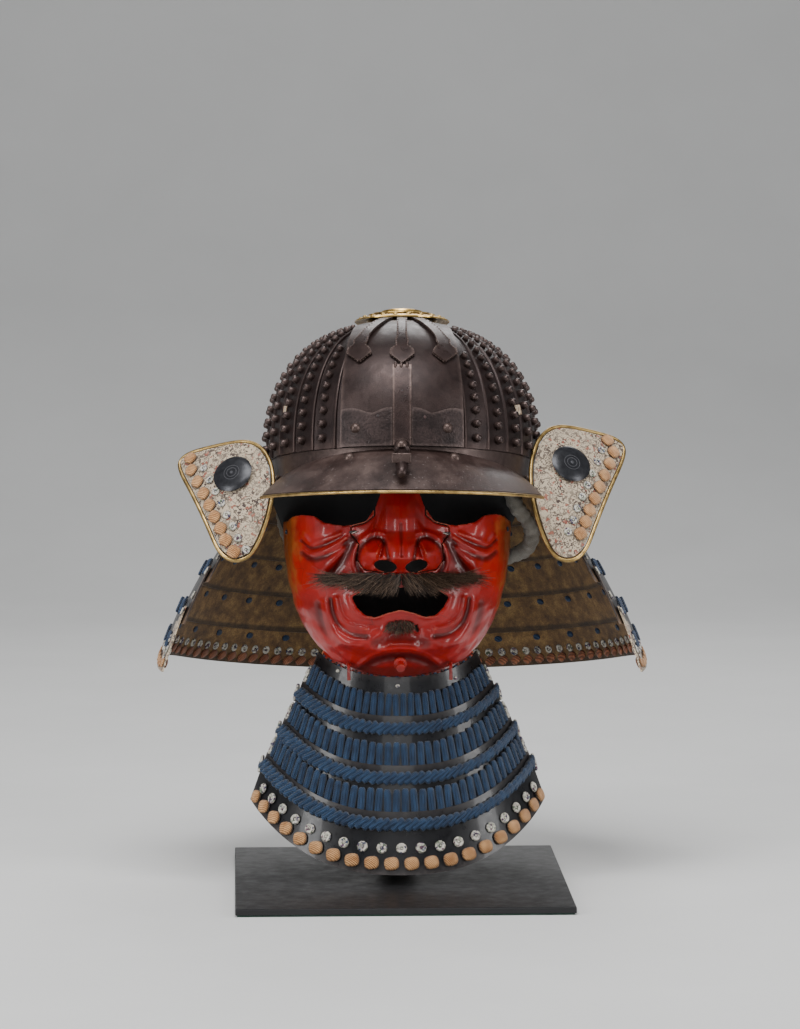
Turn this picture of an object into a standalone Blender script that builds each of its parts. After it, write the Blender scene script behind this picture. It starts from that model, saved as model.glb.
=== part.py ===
"""A samurai helmet with its face mask and throat guard on a black stand.

Metres, +Z up, the front faces -Y. The origin is the centre of the felt under the base plate.
The helmet is modelled level in its own frame, which is then leaned back on the stand.
"""

import math

import bmesh
import bpy
from mathutils import Matrix, Vector

# Clearances between pieces
GAP = 0.0003
SEAT = 0.0004

# Stand
BASE_WIDTH = 0.268
BASE_DEPTH = 0.280
BASE_THICKNESS = 0.005
BASE_BEVEL = 0.0008
FELT_THICKNESS = 0.0012
FELT_INSET = 0.0015
BOARD_Y = 0.064
BOARD_THICKNESS = 0.010
POST_WIDTH = 0.030
POST_TOP = 0.178
POST_SHOULDER = 0.016
RIM_BOARD_DROP = 0.026
JAW_BOARD_WIDTH = 0.100
EAR_BOARD_WIDTH = 0.186
RIM_BOARD_WIDTH = 0.208

# Helmet frame
HELMET_X = 0.005
HELMET_Y = 0.077
HELMET_Z = 0.338
HELMET_LEAN_DEG = 11.0
HELMET_TURN_DEG = -2.2

# Bowl
BOWL_WIDTH = 0.221
BOWL_LENGTH = 0.250
BOWL_HEIGHT = 0.1125
BOWL_WALL = 0.0025
BOWL_FULLNESS = 2.5
RIB_COUNT = 32
RIB_STEP = 0.0014
CROWN_HOLE_RADIUS = 0.016
BOWL_ROWS = 7

# Waist band under the bowl
BAND_HEIGHT = 0.024
BAND_WALL = 0.0018
BAND_INSET = 0.0012

# Plates on the front of the bowl
FRONT_PLATE_THICKNESS = 0.0012
FRONT_PLATE_HALF_WIDTH = 0.048
FRONT_PLATE_TAPER = 0.022
FRONT_PLATE_TOP = 0.80
BROW_PLATE_THICKNESS = 0.0010
BROW_PLATE_HEIGHT = 0.030
BROW_SCALLOP = 0.0055
BROW_MARGIN = 0.001
CREST_BAR_WIDTH = 0.0138
CREST_BAR_THICKNESS = 0.0028
CREST_BAR_TOP = 0.062
CREST_PEG_RADIUS = 0.0050
BLADE_WIDTH = 0.0078
BLADE_HEAD_WIDTH = 0.0200
BLADE_THICKNESS = 0.0020
CENTRE_BLADE_DROP = 0.045
SIDE_BLADE_DROP = 0.043
SIDE_BLADE_SPREAD = 0.033

# Crown finial: four stacked gilt tiers round the crown hole
FINIAL_WIDTH = 0.080
FINIAL_HEIGHT = 0.0125
FINIAL_HOLE_RADIUS = 0.0115
FINIAL_PETALS = 20
FINIAL_SCALLOP = 0.0016
FINIAL_SHEET = 0.0016

# Visor
VISOR_REACH = 0.0435
VISOR_DROP = 0.039
VISOR_WIDTH = 0.226
VISOR_THICKNESS = 0.0020
VISOR_ROOT_DEG = 56.0
VISOR_RIM_DEG = 75.0
VISOR_ROOT_DROP = 0.002
VISOR_CORNER_DROP = 0.0145
VISOR_RIM_RADIUS = 0.0016
VISOR_RIM_LIFT = 0.004
VISOR_STEPS = 20

# Neck guard
NECK_LAMES = 5
NECK_TOP_DROP = 0.016
NECK_DROP = 0.138
NECK_FLARE = 0.079
NECK_BACK_FLARE = 0.072
NECK_WALL = 0.0014
NECK_GAP = 0.0014
NECK_SEAT = 0.0010
NECK_OVERLAP = 0.012
NECK_FRONT_DEG = 64.0
NECK_FRONT_SWEEP_DEG = 12.0
NECK_TIP_DROOP = 0.022
NECK_TIP_DEG = 26.0
NECK_BACK_DROOP = 0.004
NECK_STEPS = 20

# Turn-backs at the front ends of the neck guard
TURN_WIDTH = 0.0695
TURN_HEIGHT = 0.108
TURN_LIFT_RIGHT = 0.013
TURN_SLOPE = 0.36
TURN_THICKNESS = 0.0026
TURN_TUCK = 0.0010
TURN_FORWARD = 0.0022
TURN_DROP_SHARE = 0.505
TURN_RIM_RADIUS = 0.0021
TURN_STEPS = 6
TURN_BOSS_RADIUS = 0.0170
TURN_BOSS_HEIGHT = 0.0028

# Face mask
MASK_WIDTH = 0.188
MASK_HEIGHT = 0.126
MASK_DEPTH = 0.085
MASK_CHIN_Z = 0.170
MASK_WALL = 0.0022
MASK_HOLLOW = 0.7
NOSE_REACH = 0.023
MASK_COLUMNS = 30
MASK_ROWS = 16
MASK_CROWDING = 1.25
MOUTH_WIDTH = 0.078
MOUTH_HEIGHT = 0.026
MOUSTACHE_WIDTH = 0.136
MOUSTACHE_DEPTH = 0.0075
MOUSTACHE_HEIGHT = 0.0125
TUFT_WIDTH = 0.026
TUFT_HEIGHT = 0.013
TUFT_DEPTH = 0.004
DRAIN_RADIUS = 0.0036
DRAIN_LENGTH = 0.010
HOOK_RADIUS = 0.0013
HOOK_LENGTH = 0.012

# Throat guard
THROAT_WALL = 0.0014
THROAT_LIFT = 0.0042
THROAT_DEG = 80.0
THROAT_STEPS = 20
THROAT_FRONT_Y = 0.004
THROAT_BOTTOM_Z = 0.0155
THROAT_HEADROOM = -0.0005
THROAT_TOP_HALF_WIDTH = 0.064
THROAT_FOOT_HALF_WIDTH = 0.1075
THROAT_FOOT_REACH = 0.037
THROAT_TOP_DEPTH = 0.038
THROAT_FOOT_DEPTH = 0.073
THROAT_TOP_RISE = 0.016
THROAT_FOOT_RISE = 0.049
THROAT_OVERLAP = 0.006
LACE_HEIGHT = 0.018
LACE_THICKNESS = 0.0019
LACE_TUCK = 0.0025
LACE_COUNT = 20
BRAID_HEIGHT = 0.0135
BRAID_THICKNESS = 0.0028
BRAID_COUNT = 18
BRAID_DROP = 0.0030

# Chin cord
CORD_DIAMETER = 0.0130
# From the right of the waist band, as it hangs, round behind the board to the left of the band
CORD_ROUTE = (
    (0.1006, 0.050, 0.3262),
    (0.0965, 0.047, 0.3215),
    (0.0935, 0.043, 0.3140),
    (0.0985, 0.042, 0.3035),
    (0.1045, 0.045, 0.2960),
    (0.1100, 0.050, 0.2860),
    (0.1105, 0.058, 0.2740),
    (0.1040, 0.068, 0.2650),
    (0.0900, 0.077, 0.2580),
    (0.0740, 0.079, 0.2500),
    (0.0500, 0.079, 0.2400),
    (0.0240, 0.079, 0.2320),
    (0.0000, 0.079, 0.2290),
    (-0.0240, 0.079, 0.2320),
    (-0.0500, 0.079, 0.2400),
    (-0.0740, 0.079, 0.2560),
    (-0.0900, 0.079, 0.2800),
    (-0.0925, 0.079, 0.3050),
    (-0.0930, 0.079, 0.3200),
    (-0.0966, 0.079, 0.3270),
)
CORD_STEPS = 2

# Colours of the materials: red, green, blue, then metallic and roughness
FINISHES = {
    "russet_iron": (0.060, 0.036, 0.032, 0.85, 0.42),
    "dark_iron": (0.050, 0.045, 0.045, 0.85, 0.50),
    "gilt": (0.780, 0.520, 0.150, 1.00, 0.32),
    "red_lacquer": (0.520, 0.022, 0.012, 0.00, 0.24),
    "black_lacquer": (0.012, 0.012, 0.014, 0.00, 0.22),
    "printed_leather": (0.560, 0.490, 0.410, 0.00, 0.70),
    "blue_silk": (0.030, 0.080, 0.180, 0.00, 0.80),
    "brown_hair": (0.075, 0.045, 0.030, 0.00, 0.65),
    "grey_cord": (0.300, 0.290, 0.260, 0.00, 0.85),
    "black_paint": (0.010, 0.010, 0.011, 0.00, 0.40),
    "green_felt": (0.015, 0.050, 0.035, 0.00, 0.95),
}


def clear_scene():
    for obj in list(bpy.data.objects):
        bpy.data.objects.remove(obj, do_unlink=True)


def finish_of(name):
    """The material of that name, made the first time it is asked for."""
    material = bpy.data.materials.get(name)
    if material:
        return material
    red, green, blue, metallic, roughness = FINISHES[name]
    material = bpy.data.materials.new(name)
    material.use_nodes = True
    shader = material.node_tree.nodes["Principled BSDF"]
    shader.inputs["Base Color"].default_value = (red, green, blue, 1.0)
    shader.inputs["Metallic"].default_value = metallic
    shader.inputs["Roughness"].default_value = roughness
    return material


def add_object(name, mesh, finish, parent=None, smooth_deg=30.0):
    obj = bpy.data.objects.new(name, mesh)
    bpy.context.scene.collection.objects.link(obj)
    mesh.materials.append(finish_of(finish))
    mesh.shade_smooth()
    mesh.set_sharp_from_angle(angle=math.radians(smooth_deg))
    obj.parent = parent
    return obj


def add_frame(name, place, lean_deg, turn_deg):
    """An empty that its children lean back and turn with."""
    frame = bpy.data.objects.new(name, None)
    bpy.context.scene.collection.objects.link(frame)
    frame.location = place
    frame.rotation_euler = (-math.radians(lean_deg), 0.0, math.radians(turn_deg))
    return frame


def mesh_of(name, points, faces):
    """A mesh whose faces are turned outwards, with points that coincide made one."""
    work = bmesh.new()
    verts = [work.verts.new(p) for p in points]
    for face in faces:
        work.faces.new([verts[i] for i in face])
    bmesh.ops.remove_doubles(work, verts=work.verts, dist=1e-6)
    bmesh.ops.recalc_face_normals(work, faces=work.faces)
    mesh = bpy.data.meshes.new(name)
    work.to_mesh(mesh)
    work.free()
    return mesh


def wall_between(name, outer, inner, wrap=False):
    """A closed wall between two grids of points with as many rows and columns as each other."""
    rows, columns = len(outer), len(outer[0])
    points = [p for row in outer for p in row] + [p for row in inner for p in row]
    half = rows * columns
    faces = []
    spans = columns if wrap else columns - 1
    for r in range(rows - 1):
        for c in range(spans):
            d = (c + 1) % columns
            a, b = r * columns + c, r * columns + d
            e, f = (r + 1) * columns + d, (r + 1) * columns + c
            faces.append((a, b, e, f))
            faces.append((half + f, half + e, half + b, half + a))
    for c in range(spans):
        d = (c + 1) % columns
        faces.append((c, half + c, half + d, d))
        last = (rows - 1) * columns
        faces.append((last + d, half + last + d, half + last + c, last + c))
    if not wrap:
        for r in range(rows - 1):
            a, b = r * columns, (r + 1) * columns
            faces.append((b, half + b, half + a, a))
            a, b = a + columns - 1, b + columns - 1
            faces.append((a, half + a, half + b, b))
    return mesh_of(name, points, faces)


def sheet_normals(grid, wrap=False):
    """The unit normal of a grid of points at each of them, by central differences."""
    rows, columns = len(grid), len(grid[0])
    normals = []
    for r in range(rows):
        line = []
        for c in range(columns):
            left = grid[r][(c - 1) % columns if wrap else max(c - 1, 0)]
            right = grid[r][(c + 1) % columns if wrap else min(c + 1, columns - 1)]
            low = grid[max(r - 1, 0)][c]
            high = grid[min(r + 1, rows - 1)][c]
            line.append((right - left).cross(high - low).normalized())
        normals.append(line)
    return normals


def offset_grid(grid, distance, wrap=False):
    normals = sheet_normals(grid, wrap)
    return [
        [p + n * distance for p, n in zip(points, line)]
        for points, line in zip(grid, normals)
    ]


def swept_tube(name, path, radii, sides, closed=False):
    """A round tube along points, with a radius for each point and flat ends."""
    rings = []
    count = len(path)
    first = (path[1] - path[0]).normalized()
    side = Vector((0.0, 0.0, 1.0)) if abs(first.z) < 0.9 else Vector((1.0, 0.0, 0.0))
    for i, point in enumerate(path):
        before = path[(i - 1) % count] if closed else path[max(i - 1, 0)]
        after = path[(i + 1) % count] if closed else path[min(i + 1, count - 1)]
        along = (after - before).normalized()
        side = (side - along * side.dot(along)).normalized()
        other = along.cross(side)
        ring = []
        for k in range(sides):
            turn = math.tau * k / sides
            ring.append(point + (side * math.cos(turn) + other * math.sin(turn)) * radii[i])
        rings.append(ring)
    points = [p for ring in rings for p in ring]
    faces = []
    for i in range(count if closed else count - 1):
        j = (i + 1) % count
        for k in range(sides):
            m = (k + 1) % sides
            faces.append((i * sides + k, i * sides + m, j * sides + m, j * sides + k))
    if not closed:
        faces.append(tuple(range(sides)))
        faces.append(tuple((count - 1) * sides + k for k in range(sides)))
    return mesh_of(name, points, faces)


def turned(name, profile, steps, ripple=0, depth=0.0):
    """A ring turned round Z from a closed profile of (radius, height, share of the ripple)."""
    points = []
    count = len(profile)
    for i in range(steps):
        turn = math.tau * i / steps
        wave = depth * (0.5 - 0.5 * math.cos(ripple * turn)) if ripple else 0.0
        for radius, height, share in profile:
            r = radius - wave * share
            points.append(Vector((r * math.sin(turn), -r * math.cos(turn), height)))
    faces = []
    for i in range(steps):
        j = (i + 1) % steps
        for k in range(count):
            m = (k + 1) % count
            faces.append((i * count + k, i * count + m, j * count + m, j * count + k))
    return mesh_of(name, points, faces)


def dome(name, radius, height, steps, rows):
    """A low dome with a flat back, standing on the plane Z = 0 and rising along +Z."""
    points = [Vector((0.0, 0.0, height))]
    for r in range(1, rows + 1):
        angle = 0.5 * math.pi * r / rows
        ring, rise = radius * math.sin(angle), height * math.cos(angle)
        for i in range(steps):
            turn = math.tau * i / steps
            points.append(Vector((ring * math.cos(turn), ring * math.sin(turn), rise)))
    faces = [(0, 1 + i, 1 + (i + 1) % steps) for i in range(steps)]
    for r in range(rows - 1):
        for i in range(steps):
            a, b = 1 + r * steps + i, 1 + r * steps + (i + 1) % steps
            faces.append((a, a + steps, b + steps, b))
    faces.append(tuple(1 + (rows - 1) * steps + i for i in range(steps)))
    return mesh_of(name, points, faces)


def smooth_route(points, steps):
    """Points along the smooth curve through a route, the route's own points among them."""
    places = [Vector(p) for p in points]
    ends = [places[0] * 2 - places[1]] + places + [places[-1] * 2 - places[-2]]
    route = []
    for a, b, c, d in zip(ends, ends[1:], ends[2:], ends[3:]):
        for k in range(steps):
            t = k / steps
            route.append(0.5 * (
                2 * b + (c - a) * t + (2 * a - 5 * b + 4 * c - d) * t ** 2 + (3 * b - a - 3 * c + d) * t ** 3
            ))
    return route + [places[-1]]


def inset_outline(outline, distance):
    """A closed outline drawn in on itself by a distance, corner by corner."""
    count = len(outline)
    area = sum(
        outline[i][0] * outline[(i + 1) % count][1] - outline[(i + 1) % count][0] * outline[i][1]
        for i in range(count)
    )
    sense = 1.0 if area > 0 else -1.0
    drawn = []
    for i in range(count):
        (x0, z0), (x1, z1), (x2, z2) = outline[i - 1], outline[i], outline[(i + 1) % count]
        first = Vector((z0 - z1, x1 - x0)).normalized() * sense
        second = Vector((z1 - z2, x2 - x1)).normalized() * sense
        inward = (first + second).normalized()
        reach = distance / max(0.5, inward.dot(first))
        drawn.append((x1 + inward.x * reach, z1 + inward.y * reach))
    return drawn


def extruded(name, outline, low, high):
    """An outline in the XZ plane made solid between two values of Y."""
    front = [Vector((x, low, z)) for x, z in outline]
    back = [Vector((x, high, z)) for x, z in outline]
    count = len(outline)
    faces = [tuple(range(count)), tuple(range(2 * count - 1, count - 1, -1))]
    for i in range(count):
        j = (i + 1) % count
        faces.append((i, j, count + j, count + i))
    return mesh_of(name, front + back, faces)


def cut_with(obj, cutter, operation):
    cutter.hide_render = True
    cutter.display_type = "WIRE"
    modifier = obj.modifiers.new("cut", "BOOLEAN")
    modifier.operation = operation
    modifier.object = cutter
    modifier.solver = "EXACT"


def blend(low, high, share):
    return low + (high - low) * share


def smooth_step(value):
    value = min(max(value, 0.0), 1.0)
    return value * value * (3.0 - 2.0 * value)


def from_table(table, key):
    """The values of a table's row at key, with smooth runs between its rows."""
    if key <= table[0][0]:
        return table[0][1:]
    for low, high in zip(table, table[1:]):
        if key <= high[0]:
            share = smooth_step((key - low[0]) / (high[0] - low[0]))
            return tuple(blend(a, b, share) for a, b in zip(low[1:], high[1:]))
    return table[-1][1:]


# Bowl

def bowl_point(turn, climb, extra=0.0):
    """A point of the bowl: turn from the front in radians, climb from 0 at the rim to 1 at the top."""
    lift = 0.5 * math.pi * climb
    shrink = math.cos(lift) ** (2.0 / BOWL_FULLNESS)
    rise = math.sin(lift) ** (2.0 / BOWL_FULLNESS)
    return Vector((
        (0.5 * BOWL_WIDTH + extra) * shrink * math.sin(turn),
        -(0.5 * BOWL_LENGTH + extra) * shrink * math.cos(turn),
        (BOWL_HEIGHT + extra) * rise,
    ))


def hole_climb(radius):
    """The climb at which the bowl has closed in to this radius, on its narrow way."""
    share = (radius / (0.5 * BOWL_WIDTH)) ** (0.5 * BOWL_FULLNESS)
    return 2.0 / math.pi * math.acos(min(1.0, share))


def bowl_rows(top):
    return [top * r / BOWL_ROWS for r in range(BOWL_ROWS + 1)]


def bowl_grids():
    """The ribbed outside and the plain inside: each rib starts flush and ends a step proud."""
    top = hole_climb(CROWN_HOLE_RADIUS)
    outer, inner = [], []
    rib = math.tau / RIB_COUNT
    sharp = 0.12
    for climb in bowl_rows(top):
        line, inside = [], []
        for i in range(RIB_COUNT):
            start = rib * (i + 0.5)
            for place, proud in ((0.0, 0.0), (1.0 - sharp, 1.0)):
                turn = start + rib * place
                line.append(bowl_point(turn, climb, RIB_STEP * proud))
                inside.append(bowl_point(turn, climb, -BOWL_WALL))
        outer.append(line)
        inner.append(inside)
    return outer, inner


def build_bowl(frame):
    outer, inner = bowl_grids()
    add_object("bowl", wall_between("bowl", outer, inner, wrap=True), "russet_iron", frame)


def build_band(frame):
    """The plain band that the bowl stands on and that carries the visor and the neck guard."""
    steps = 48
    outer, inner = [], []
    for height in (-BAND_HEIGHT, -GAP):
        line, inside = [], []
        for i in range(steps):
            turn = math.tau * i / steps
            low = bowl_point(turn, 0.0, -BAND_INSET)
            deep = bowl_point(turn, 0.0, -BAND_INSET - BAND_WALL)
            line.append(Vector((low.x, low.y, height)))
            inside.append(Vector((deep.x, deep.y, height)))
        outer.append(line)
        inner.append(inside)
    add_object("waist_band", wall_between("waist_band", outer, inner, wrap=True), "russet_iron", frame)


def front_turn(x, climb, extra):
    """The turn at which the bowl, grown by extra, is this far from its middle plane."""
    widest = bowl_point(math.pi / 2, climb, extra).x
    return math.asin(max(-1.0, min(1.0, x / widest)))


def over_front(half_widths, climbs, low_extra, high_extra, columns):
    """Grids over the front of the bowl at two heights above it, half as wide as told at each climb."""
    outer, inner = [], []
    for climb, half_width in zip(climbs, half_widths):
        line, inside = [], []
        for c in range(columns + 1):
            x = half_width * (2.0 * c / columns - 1.0)
            turn = front_turn(x, climb, 0.0)
            line.append(bowl_point(turn, climb, high_extra))
            inside.append(bowl_point(turn, climb, low_extra))
        outer.append(line)
        inner.append(inside)
    return outer, inner


def front_base():
    """How far above the plain bowl the front plate lies: clear of the ribs under it."""
    return RIB_STEP + 3.4 * GAP


def climb_at(height):
    """The climb at which the bowl has risen this far."""
    return 2.0 / math.pi * math.asin((height / BOWL_HEIGHT) ** (0.5 * BOWL_FULLNESS))


def build_front_plate(frame):
    rows = 9
    climbs = [hole_climb(0.5 * FINIAL_WIDTH * FRONT_PLATE_TOP) * r / rows for r in range(rows + 1)]
    half_widths = []
    for climb in climbs:
        shrink = math.cos(0.5 * math.pi * climb) ** (2.0 / BOWL_FULLNESS)
        widest = 0.97 * bowl_point(math.pi / 2, climb).x
        half_widths.append(min(FRONT_PLATE_HALF_WIDTH - FRONT_PLATE_TAPER * (1.0 - shrink), widest))
    low = front_base()
    outer, inner = over_front(half_widths, climbs, low, low + FRONT_PLATE_THICKNESS, 10)
    add_object("front_plate", wall_between("front_plate", outer, inner), "russet_iron", frame)


def brow_top(x):
    """The cloud-shaped upper edge of the brow plate, as a height over the rim."""
    share = abs(x) / FRONT_PLATE_HALF_WIDTH
    cloud = abs(math.sin(math.pi * (1.5 * share + 0.25)))
    return BROW_PLATE_HEIGHT - BROW_SCALLOP * (1.0 - cloud)


def build_brow_plate(frame, side, name):
    """One half of the grained plate over the brow, beside the crest bar."""
    columns, rows = 8, 3
    low = front_base() + FRONT_PLATE_THICKNESS + GAP
    start = 0.5 * CREST_BAR_WIDTH + 2.0 * GAP
    end = FRONT_PLATE_HALF_WIDTH - BROW_MARGIN
    outer, inner = [], []
    for r in range(rows + 1):
        line, inside = [], []
        for c in range(columns + 1):
            x = side * blend(start, end, c / columns)
            climb = climb_at(max(1e-6, brow_top(x) * r / rows))
            turn = front_turn(x, climb, 0.0)
            line.append(bowl_point(turn, climb, low + BROW_PLATE_THICKNESS))
            inside.append(bowl_point(turn, climb, low))
        outer.append(line)
        inner.append(inside)
    add_object(name, wall_between(name, outer, inner), "dark_iron", frame)


def build_crest_bar(frame):
    """The upright bar that a crest slides on, down the middle of the front plate."""
    rows = 8
    climbs = [climb_at(max(1e-6, blend(0.0, CREST_BAR_TOP, r / rows))) for r in range(rows + 1)]
    low = front_base() + FRONT_PLATE_THICKNESS + GAP
    high = low + BROW_PLATE_THICKNESS + CREST_BAR_THICKNESS
    outer, inner = over_front([0.5 * CREST_BAR_WIDTH] * (rows + 1), climbs, low, high, 2)
    add_object("crest_bar", wall_between("crest_bar", outer, inner), "russet_iron", frame)


def visor_root(share):
    turn = math.radians(VISOR_ROOT_DEG) * share
    point = bowl_point(turn, 0.0, SEAT - BAND_INSET)
    point.z = -blend(VISOR_ROOT_DROP, VISOR_CORNER_DROP, share * share)
    return point


def visor_rim(share):
    """The rim of the visor: an arc in plan whose corners stand beside the band."""
    reach = math.radians(VISOR_RIM_DEG)
    radius = 0.5 * VISOR_WIDTH / math.sin(reach)
    front = 0.5 * BOWL_LENGTH + VISOR_REACH
    angle = reach * share
    return Vector((
        radius * math.sin(angle),
        -front + radius * (1.0 - math.cos(angle)),
        -VISOR_DROP + VISOR_RIM_LIFT * share * share,
    ))


def visor_point(share, out):
    """A point of the visor: share from -1 to 1 along it, out from 0 at the root to 1 at the rim."""
    root, rim = visor_root(share), visor_rim(share)
    hump = Vector((0.5 * (root.x + rim.x), 0.5 * (root.y + rim.y), blend(root.z, rim.z, 0.32)))
    return root * (1 - out) ** 2 + hump * 2 * out * (1 - out) + rim * out * out


def build_visor(frame):
    columns, rows = VISOR_STEPS, 3
    upper = []
    for r in range(rows + 1):
        upper.append([visor_point(2.0 * c / columns - 1.0, r / rows) for c in range(columns + 1)])
    lower = offset_grid(upper, -VISOR_THICKNESS)
    if (lower[0][columns // 2] - upper[0][columns // 2]).z > 0:
        lower = offset_grid(upper, VISOR_THICKNESS)
    for high, low in zip(upper[0], lower[0]):
        low.x, low.y = high.x, high.y
    add_object("visor", wall_between("visor", upper, lower), "russet_iron", frame)
    clearance = VISOR_RIM_RADIUS + GAP
    path = []
    for c in range(columns + 1):
        share = 2.0 * c / columns - 1.0
        rim = 0.5 * (upper[rows][c] + lower[rows][c])
        out = (upper[rows][c] - upper[rows - 1][c]).normalized()
        path.append(rim + out * clearance)
    name = "visor_rim"
    tube = swept_tube(name, path, [VISOR_RIM_RADIUS] * len(path), 6)
    add_object(name, tube, "gilt", frame)


# Columns: how far out on the visor, and the radius as a share of the peg's.
CREST_PEG_STATIONS = (
    (0.18, 1.30),
    (0.36, 1.30),
    (0.38, 0.90),
    (0.55, 0.90),
    (0.74, 1.08),
    (0.84, 0.98),
    (0.88, 0.55),
)


def build_crest_peg(frame):
    """The collar and peg below the crest bar, lying down the middle of the visor."""
    path, radii = [], []
    for out, share in CREST_PEG_STATIONS:
        here = visor_point(0.0, out)
        along = visor_point(0.0, out + 0.02) - visor_point(0.0, out - 0.02)
        square = Vector((0.0, along.z, -along.y)).normalized()
        radius = CREST_PEG_RADIUS * share
        path.append(here + square * (CREST_PEG_RADIUS * CREST_PEG_STATIONS[0][1] + 3.0 * GAP))
        radii.append(radius)
    add_object("crest_peg", swept_tube("crest_peg", path, radii, 12), "russet_iron", frame)


def blade_outline(share):
    """Half the width of a blade at a share of its length: a strap that ends in a pointed head."""
    table = (
        (0.00, 0.50),
        (0.55, 0.52),
        (0.66, 0.75),
        (0.78, 1.26),
        (0.82, 1.24),
        (0.90, 0.70),
        (1.00, 0.10),
    )
    return from_table(table, share)[0]


def build_blade(frame, name, spread, drop):
    """A sword-shaped strap that hangs from the finial over the front plate."""
    rows = 12
    low = front_base() + FRONT_PLATE_THICKNESS + GAP
    start = 0.5 * FINIAL_WIDTH * 0.80
    top_climb = hole_climb(start)
    top_height = bowl_point(0.0, top_climb).z
    outer, inner = [], []
    for r in range(rows + 1):
        share = r / rows
        height = top_height - drop * share
        climb = climb_at(height)
        middle = spread * (0.34 + 0.66 * math.sin(0.5 * math.pi * min(1.0, share * 1.35)))
        half = 0.5 * blend(BLADE_WIDTH, BLADE_HEAD_WIDTH, smooth_step((share - 0.5) / 0.3))
        half *= blade_outline(share) / blade_outline(0.8 if share > 0.62 else 0.0)
        line, inside = [], []
        for x in (middle - half, middle, middle + half):
            turn = front_turn(x, climb, 0.0)
            line.append(bowl_point(turn, climb, low + BLADE_THICKNESS))
            inside.append(bowl_point(turn, climb, low))
        outer.append(line)
        inner.append(inside)
    add_object(name, wall_between(name, outer, inner), "dark_iron", frame)


# Columns: name, radius as a share of the finial's, how far its lip is turned up as a share of
# the tier's height, how many petals it has and how deep the notches between them are.
FINIAL_TIER_SHARES = (
    ("finial_petals", 0.74, 1.45, 14, 0.0022),
    ("finial_crown", 0.54, 0.65, 10, 0.0014),
    ("finial_ring", 0.44, 0.30, 10, 0.0),
)


def build_finial(frame):
    """Four gilt tiers round the crown hole. The lowest is dished to sit on the bowl and its plates."""
    half = 0.5 * FINIAL_WIDTH
    hole = FINIAL_HOLE_RADIUS
    on_ribs = RIB_STEP + 2.0 * GAP
    on_plates = front_base() + FRONT_PLATE_THICKNESS + BLADE_THICKNESS + 4.0 * GAP

    def seat(radius, lift):
        """The bowl's height at this radius, where it is highest, with a lift square to the crown."""
        along = (radius / (0.5 * BOWL_LENGTH)) ** BOWL_FULLNESS
        return BOWL_HEIGHT * (1.0 - along) ** (1.0 / BOWL_FULLNESS) + lift

    thick = FINIAL_SHEET
    crown = seat(hole, on_ribs)
    profile = (
        (hole, crown, 0.0),
        (half * 0.62, seat(half * 0.62, on_ribs), 0.0),
        (half * 0.74, seat(half * 0.74, on_plates), 0.0),
        (half, seat(half, on_plates), 1.0),
        (half, seat(half, on_plates) + thick * 0.7, 1.0),
        (half * 0.84, seat(half * 0.84, on_plates) + thick * 1.6, 0.3),
        (half * 0.72, seat(half * 0.72, on_plates) + thick, 0.0),
        (half * 0.58, seat(half * 0.58, on_ribs) + thick, 0.0),
        (hole, crown + thick, 0.0),
    )
    base = turned("finial_base", profile, 2 * FINIAL_PETALS, FINIAL_PETALS, FINIAL_SCALLOP)
    add_object("finial_base", base, "gilt", frame)
    low = crown + thick + GAP
    step = (FINIAL_HEIGHT - thick) / 3.0
    for name, share, rise, ripple, depth in FINIAL_TIER_SHARES:
        radius = half * share
        profile = (
            (hole, low, 0.0),
            (blend(hole, radius, 0.5), low, 0.0),
            (radius, low + step * rise, 1.0),
            (radius * 0.97, low + step * (rise + 0.35), 1.0),
            (radius * 0.84, low + step * (rise + 0.40), 0.4),
            (blend(hole, radius, 0.4), low + step - GAP, 0.0),
            (hole, low + step - GAP, 0.0),
        )
        ring = turned(name, profile, 2 * ripple, ripple, depth)
        add_object(name, ring, "gilt", frame)
        low += step


# Neck guard

def neck_half_sizes(share):
    """Half the width, and half the length behind, of the neck guard at a share of its drop."""
    bulge = 1.0 + 0.08 * math.sin(math.pi * share)
    width = 0.5 * BOWL_WIDTH - BAND_INSET + NECK_SEAT + NECK_FLARE * share * bulge
    back = 0.5 * BOWL_LENGTH - BAND_INSET + NECK_SEAT + NECK_BACK_FLARE * share * bulge
    return width, back


def neck_point(turn, share, proud):
    """A point of the neck guard: turn from the front, share of the drop, and how far it stands proud."""
    width, back = neck_half_sizes(share)
    height = -NECK_TOP_DROP - NECK_DROP * share
    tip = math.radians(NECK_FRONT_DEG + NECK_FRONT_SWEEP_DEG * share)
    near_tip = smooth_step((tip + math.radians(NECK_TIP_DEG) - abs(turn)) / math.radians(NECK_TIP_DEG))
    behind = 0.5 - 0.5 * math.cos(turn)
    height -= NECK_TIP_DROOP * near_tip * share ** 3
    height -= NECK_BACK_DROOP * share * behind ** 3
    return Vector((
        (width + proud) * math.sin(turn),
        -(back + proud) * math.cos(turn),
        height,
    ))


def lame_shares(index):
    """The shares of the drop where a lame of the neck guard starts and ends."""
    pitch = 1.0 / NECK_LAMES
    over = NECK_OVERLAP / NECK_DROP
    return max(0.0, index * pitch - over), (index + 1) * pitch


def build_neck_lames(frame):
    """Five iron lames, each lower one outside the one above it, from cheek to cheek behind."""
    for index in range(NECK_LAMES):
        start, end = lame_shares(index)
        first = index * (NECK_WALL + NECK_GAP)
        tip = math.radians(NECK_FRONT_DEG + NECK_FRONT_SWEEP_DEG * (start + end) / 2)
        outer, inner = [], []
        for share in (end, blend(start, end, 0.5), start):
            line, inside = [], []
            for c in range(NECK_STEPS + 1):
                turn = blend(tip, math.tau - tip, c / NECK_STEPS)
                near = turn if turn < math.pi else turn - math.tau
                line.append(neck_point(near, share, first + NECK_WALL))
                inside.append(neck_point(near, share, first))
            outer.append(line)
            inner.append(inside)
        name = f"neck_lame_{index + 1}"
        add_object(name, wall_between(name, outer, inner), "black_lacquer", frame)


# Turn-backs

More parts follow.
